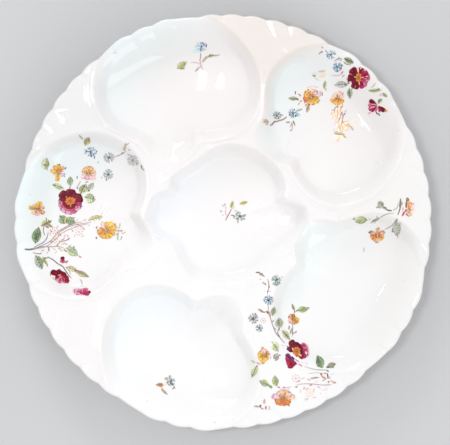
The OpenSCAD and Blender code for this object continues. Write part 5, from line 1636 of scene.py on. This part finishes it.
dabs([(31.6, -147, 5, 0.8, -110, olive), (28.6, -154, 4, 1, -115, green), (32.6, -145.4, 2, 0.9, 60, plum)])
leaf(95.8, -141, 12.4, 8.2, 108, pine, grass, pine, None, -0.05)
dabs([
    (94, -138.6, 7, 1.6, 100, pine), (97.4, -144, 5, 1.2, 120, grass),
    (93.4, -143.6, 4, 1, 90, tone(128, 150, 84)), (98.4, -140.8, 5, 0.8, 115, fern)])
leaf(107.2, -144.2, 9.6, 4.8, 20, taupe, olive, moss)
dabs([
    (103.8, -146, 3.4, 1.5, 10, pine), (109, -143.6, 4, 1.1, 30, mauve),
    (107.6, -146.4, 4.4, 0.8, 10, grass)])
leaf(51, -159.8, 11, 6.4, 100, lime, olive, green)
dabs([(50.2, -160.8, 6, 0.9, 70, olive), (52, -163, 3, 0.8, 110, green)])
leaf(39.8, -161.8, 11, 6, 160, sage, lime, green)
dabs([(46, -165.2, 5, 1.6, -40, grass), (42.6, -163.6, 4, 0.8, -30, moss), (37.8, -161.6, 3, 1, -10, grey)])
leaf(90.4, -156.8, 9.4, 2.4, 8, taupe, mist)

brush.start("lower_spray_tan_leaves")
dabs([(33.4, -51, 4, 1, 0, brown), (36.6, -52.6, 3.4, 1.4, 30, taupe), (38.6, -54, 2.4, 1.2, -30, brown)])
leaf(38.6, -54.4, 10, 3.6, -36, tan, taupe, brown)
leaf(38.8, -60.8, 8, 3, -48, bisque, taupe, taupe)
dabs([(41.2, -63, 2.2, 1, -50, plum), (44.8, -65.6, 2.6, 1, 85, brown), (36.4, -58.6, 3.4, 0.6, -20, taupe)])
leaf(37.6, -90, 8, 3, -32, tan, mauve, brown)
dabs([
    (43, -91.4, 3.6, 1.4, -50, brown), (41.4, -90.6, 3, 0.7, -30, taupe), (34.8, -88.6, 3, 0.7, 0, taupe),
    (46, -94, 3, 0.8, -70, mauve)])
leaf(99.2, -155.8, 7, 3.6, -35, bisque, tan, rust)
dabs([
    (96.8, -152.6, 2, 1.2, 30, plum), (103.2, -149.6, 2.4, 1.1, -30, plum), (103, -154.6, 5.4, 1, 100, plum),
    (100.6, -152, 3, 0.6, 20, slate), (108.4, -160, 5.4, 1.2, -20, tan), (110.2, -161.4, 3.4, 0.9, 10, mauve),
    (104.2, -160.8, 1.8, 1, 0, plum), (107.4, -152.4, 4, 0.6, 20, ice)])
leaf(28.6, -141, 5, 3.4, 150, pear, mist)
leaf(67.2, -110.4, 6.4, 2.6, 70, sage, tan, taupe)
dabs([
    (65, -107, 4, 0.9, 85, plum), (71.6, -111.6, 3.4, 1, 40, grey), (69.4, -112.6, 3, 0.8, 10, moss),
    (46.6, -165, 3, 0.8, -30, grass), (54.6, -166, 3, 1, -20, mauve), (59.4, -166.6, 3, 0.8, 0, taupe),
    (64.4, -168, 2.6, 1, -10, mist)])
leaf(40, -180.2, 5.4, 3.6, 80, tone(224, 178, 160), blush, taupe)
dabs([
    (31.4, -184.8, 3.6, 1.2, 10, grey), (36, -184.8, 2.6, 1.4, 60, brown), (37.6, -187, 3.6, 0.9, -30, mauve),
    (41.6, -186.4, 3.6, 1.1, 85, brown), (33.6, -185.8, 3, 0.6, 0, mauve)])
leaf(44.8, -186.6, 4.4, 2.6, 80, bisque, blush)

brush.start("lower_spray_stems")
stems([
    ([(43.2, -57.4), (44.2, -61), (44.4, -65.4), (43.6, -69), (43.2, -73.4)], 0.7, mauve, plum),
    ([(40.6, -70), (43.2, -70.6), (46, -69.6)], 0.5, mauve, mauve),
    ([(44.2, -84), (44, -90), (46.2, -97.4), (49.2, -106.6), (52, -112.6), (56, -117),
     (60.4, -122.2)], 0.6, mauve, plum), ([(54.4, -108), (53.4, -112), (55.6, -116)], 0.6, moss, plum),
    ([(68.2, -101.4), (68.8, -108), (68.4, -116)], 0.55, mauve, moss),
    ([(71, -92.4), (70.6, -90)], 0.8, plum, plum),
    ([(72, -163.6), (79.6, -162.6), (88, -162.8), (98, -163.8), (107, -163.4)], 0.55, dusty, mauve),
    ([(80, -145), (87, -147.4), (95, -148.6), (103, -148.6)], 0.6, lilac, moss),
    ([(84, -152.6), (91, -151.6), (97, -152)], 0.4, dusty, dusty),
    ([(58.4, -165.6), (63, -166.4), (67, -165.4)], 0.5, mauve, dusty)])
dabs([
    (74.4, -160, 3.4, 0.5, 40, mauve), (78.6, -157.4, 4, 0.5, 20, dusty),
    (84.4, -158.4, 3.4, 0.5, -20, mauve), (79.4, -166.8, 3, 0.5, 60, mauve),
    (89.4, -168.6, 4, 0.5, 70, dusty), (94.6, -166, 4, 0.5, -30, mauve), (99.6, -158.6, 4, 0.6, 30, mauve),
    (105, -156.4, 3, 0.6, 60, mauve), (90, -176, 4, 0.5, 20, dusty), (96, -172, 3, 0.5, 60, blush),
    (82, -177.6, 4, 0.5, 10, dusty), (76, -170, 3, 0.5, 80, dusty), (45.4, -91.6, 3, 0.5, 60, mauve),
    (48.6, -100, 3, 0.6, 40, plum), (51, -107.6, 3, 0.5, 120, moss), (63.4, -125.6, 3, 0.6, -30, mauve),
    (82, -167.4, 4, 0.5, 30, dusty), (86.4, -163.8, 2.4, 0.7, 20, mauve), (92, -160.6, 4, 0.5, 30, blush),
    (100, -168, 6, 0.5, 20, blush), (72, -165.6, 2.4, 0.9, 10, slate)])

brush.start("lower_spray_berries")
berry(71.4, -157, 4.2, mauve, mauve)
berry(85.6, -171.6, 4.2, blend(pink, cream, 0.3), blush)
berry(38.6, -99.6, 2.8, rust, rust)

# Three small sprigs

brush.start("top_sprig_floret")
washes([(-28.4, 172.4, 7, 5, 10, tone(208, 238, 236), ice), (-20, 173.4, 7, 4.4, 0, ice, cream)])
floret(-23.2, 176.4, 6, 4.8, 15, ice, tone(160, 188, 212), tone(112, 136, 164))
dabs([
    (-21.4, 178.8, 3.4, 1, -50, slate), (-24, 174, 4.4, 1, 85, slate), (-18.6, 177.2, 3.4, 1, 80, violet),
    (-28.8, 176, 3, 0.7, 30, lilac), (-23.2, 180.2, 3, 0.7, 20, slate)])
brush.start("top_sprig_leaves")
leaf(-43.2, 158, 12, 6, 36, tone(206, 204, 120), tone(176, 176, 92), olive)
dabs([(-42.6, 154.8, 5, 1, 10, moss), (-40.4, 157.6, 4, 1, 60, olive), (-45.4, 157.6, 3, 0.8, 20, lime)])
leaf(-20, 164.2, 8, 3, 52, tan, bisque, taupe)
leaf(-13.6, 167.2, 7, 3.4, 14, olive, taupe, moss)
dabs([(-9.2, 167.6, 4, 1.2, 0, grey), (-6, 168.2, 3, 0.7, 10, taupe), (-15, 167.8, 2.4, 1.2, 60, moss)])
leaf(-27.6, 153.8, 6.4, 1.8, 50, dusty, pink)
brush.start("top_sprig_stems")
stems([
    ([(-24, 170), (-24.2, 166), (-24.8, 162.4), (-23.8, 157.6), (-27, 154)], 0.7, moss, dusty),
    ([(-23.8, 157.6), (-22.4, 154), (-22, 150)], 0.6, pink, dusty),
    ([(-34, 160.4), (-29, 160.6), (-25, 159)], 0.5, dusty, pink),
    ([(-21.6, 161), (-18.6, 164.4), (-15.6, 166.8)], 0.7, tan, moss)])

brush.start("middle_sprig_florets")
floret(15.4, 5.2, 5.6, 5.2, 20, mist, grey, navy)
dabs([
    (16.4, 5, 4, 0.9, 0, navy), (15.8, 6, 3.6, 0.9, 85, navy), (12.8, 8.2, 2.4, 1.3, 40, grey),
    (20.6, 6.4, 2.6, 1.2, 30, grey), (13.2, 2.4, 2.6, 1, -60, slate), (20, 2.6, 2.4, 1.1, 10, grey),
    (13.4, -0.8, 2.4, 0.9, 100, mauve)])
washes([(-0.4, 16.6, 4.4, 4, 30, mist, cream), (-3.6, 10.4, 3.6, 3, 0, mist, cream)])
dots(grey, [(0.4, 17.4, 0.7), (-1.6, 15.6, 0.6), (-3.6, 10.4, 0.8), (-1.6, 6.4, 0.5), (1.4, 14, 0.5)])
brush.start("middle_sprig_leaves")
leaf(7.6, 17.2, 7.6, 4.2, 74, tone(232, 208, 128), lime, olive)
dabs([(8.6, 13.8, 3, 1, 30, lime), (6.4, 16, 4, 0.6, 80, taupe)])
leaf(19.4, 18.6, 8.8, 4.4, 14, tone(206, 196, 104), tone(232, 224, 140), olive)
brush.start("middle_sprig_stems")
stems([
    ([(7, 12.6), (5, 8.4), (3, 5), (1, 1)], 0.8, mauve, tone(156, 84, 104)),
    ([(6.6, 6), (9.4, 5.8), (9.6, 2.6)], 0.8, plum, moss),
    ([(10, 11.4), (13, 9.8), (14, 8)], 0.4, mauve, grey), ([(1.4, 13.4), (1, 8), (2, 5.6)], 0.4, pink, pink)])

brush.start("low_sprig_floret")
washes([(-58.6, -158.6, 6, 4, 20, mist, cream), (-55, -156.8, 4, 4, 0, mist, cream)])
floret(-54.2, -162.2, 5, 4.6, 30, mist, grey, slate)
dabs([
    (-59, -158.8, 3.4, 1.6, 20, grey), (-55.2, -157, 2.6, 1.6, 90, grey), (-53.6, -161, 3.4, 1.3, 70, slate),
    (-53.4, -164.2, 4, 1.1, -30, plum), (-51.4, -168, 2.6, 0.9, 60, plum),
    (-57, -163.8, 2.6, 0.7, 100, plum)])
dots(plum, [(-50.4, -166.8, 0.45), (-52.6, -169.2, 0.45), (-50, -168.6, 0.4), (-51.6, -165.4, 0.45)])
brush.start("low_sprig_leaves")
leaf(-65.4, -165.2, 8.4, 4.4, 176, tan, taupe, rust)
washes([(-60.2, -164.4, 5.4, 3.4, 0, bisque, cream)])
dabs([(-63.8, -165, 4, 1, 85, rust), (-62.6, -168.4, 3.4, 0.8, -50, tan)])
leaf(-60.6, -171.8, 9, 3, -42, tan, grey, taupe)

# Each kind of stroke has its enamel, and each enamel shows the glaze through by its own share
slots = {
    "roses": "crimson_enamel", "orange_blossoms": "orange_enamel", "blue_florets": "blue_enamel",
    "floret": "blue_enamel", "florets": "blue_enamel", "leaves": "green_enamel",
    "olive_leaves": "olive_enamel", "tan_leaves": "tan_enamel", "tips": "tan_enamel", "stems": "stem_enamel",
    "berries": "pink_enamel"}
thins = {
    "crimson_enamel": 0.01, "orange_enamel": 0.22, "blue_enamel": 0.3, "green_enamel": 0.3,
    "olive_enamel": 0.3, "tan_enamel": 0.3, "stem_enamel": 0.2, "pink_enamel": 0.2}
enamels = {slot: painted_enamel(slot, thin) for slot, thin in thins.items()}
enamel_crease = 60

for name, work in brush.works.items():
    slot = "tan_enamel" if name == "low_sprig_leaves" else slots[name.split("_", 2)[2]]
    grid, tris, colours = (np.concatenate(held) for held in work)
    x, y = grid[:, 0] * square, grid[:, 1] * square
    points = np.column_stack([x, y, glaze_z(x, y) + grid[:, 2]])
    colours = np.column_stack([colours, np.ones(len(colours))])
    piece(name + "_paint", name, points, tris, enamels[slot], "paint", colours, crease=enamel_crease)

# Floor, camera and lights

floor_half = 1.6
floor_drop = 0.0002
floor_mesh = bpy.data.meshes.new("floor")
corners = [(floor_half * i, floor_half * j, -floor_drop) for i, j in ((-1, -1), (1, -1), (1, 1), (-1, 1))]
floor_mesh.from_pydata(corners, [], [(0, 1, 2, 3)])
floor_mesh.materials.append(pale_floor())
floor_obj = bpy.data.objects.new("floor", floor_mesh)
bpy.context.scene.collection.objects.link(floor_obj)

# The photograph is 450 pixels wide, each of them this wide at the plane of the rim
image_w = 450
pixel = 0.000542
camera_z = 1.2
rim_plane = 0.020
camera_data = bpy.data.cameras.new("camera")
camera_data.sensor_fit = "HORIZONTAL"
camera_data.angle = 2 * math.atan(image_w * pixel / 2 / (camera_z - rim_plane))
camera = bpy.data.objects.new("camera", camera_data)
camera.location = (0.00027, -0.0006, camera_z)
bpy.context.scene.collection.objects.link(camera)
bpy.context.scene.camera = camera


def lamp(name, place, size, power, colour):
    """A soft rectangular lamp that faces the plate's middle."""
    data = bpy.data.lights.new(name, "AREA")
    data.shape = "RECTANGLE"
    data.size, data.size_y = size
    data.energy = power
    data.color = colour
    obj = bpy.data.objects.new(name, data)
    obj.location = place
    x, y, z = np.array([0, 0, 0.01]) - place
    obj.rotation_euler = (math.acos(-z / math.hypot(x, y, z)), 0, math.atan2(y, x) - math.pi / 2)
    bpy.context.scene.collection.objects.link(obj)


# Two window panes overhead, a soft fill and a far window
lamp("key_left_pane", (-0.285, 0.035, 1.15), (0.11, 0.012), 1.2, (1, 0.995, 0.985))
lamp("key_right_pane", (-0.18, 0.035, 1.15), (0.11, 0.012), 1.2, (1, 0.995, 0.985))
lamp("lower_right", (0.8, -0.9, 0.8), (0.8, 0.7), 2.8, (1, 0.98, 0.965))
lamp("far_window", (-0.25, 1.2, 0.62), (0.5, 0.34), 3.8, (0.96, 0.98, 1))

world = bpy.data.worlds.new("studio")
bpy.context.scene.world = world
world.use_nodes = True
background = next(n for n in world.node_tree.nodes if n.type == "BACKGROUND")
background.inputs["Color"].default_value = (0.97, 0.985, 1, 1)
background.inputs["Strength"].default_value = 0.795

bpy.context.scene.view_settings.view_transform = "Standard"
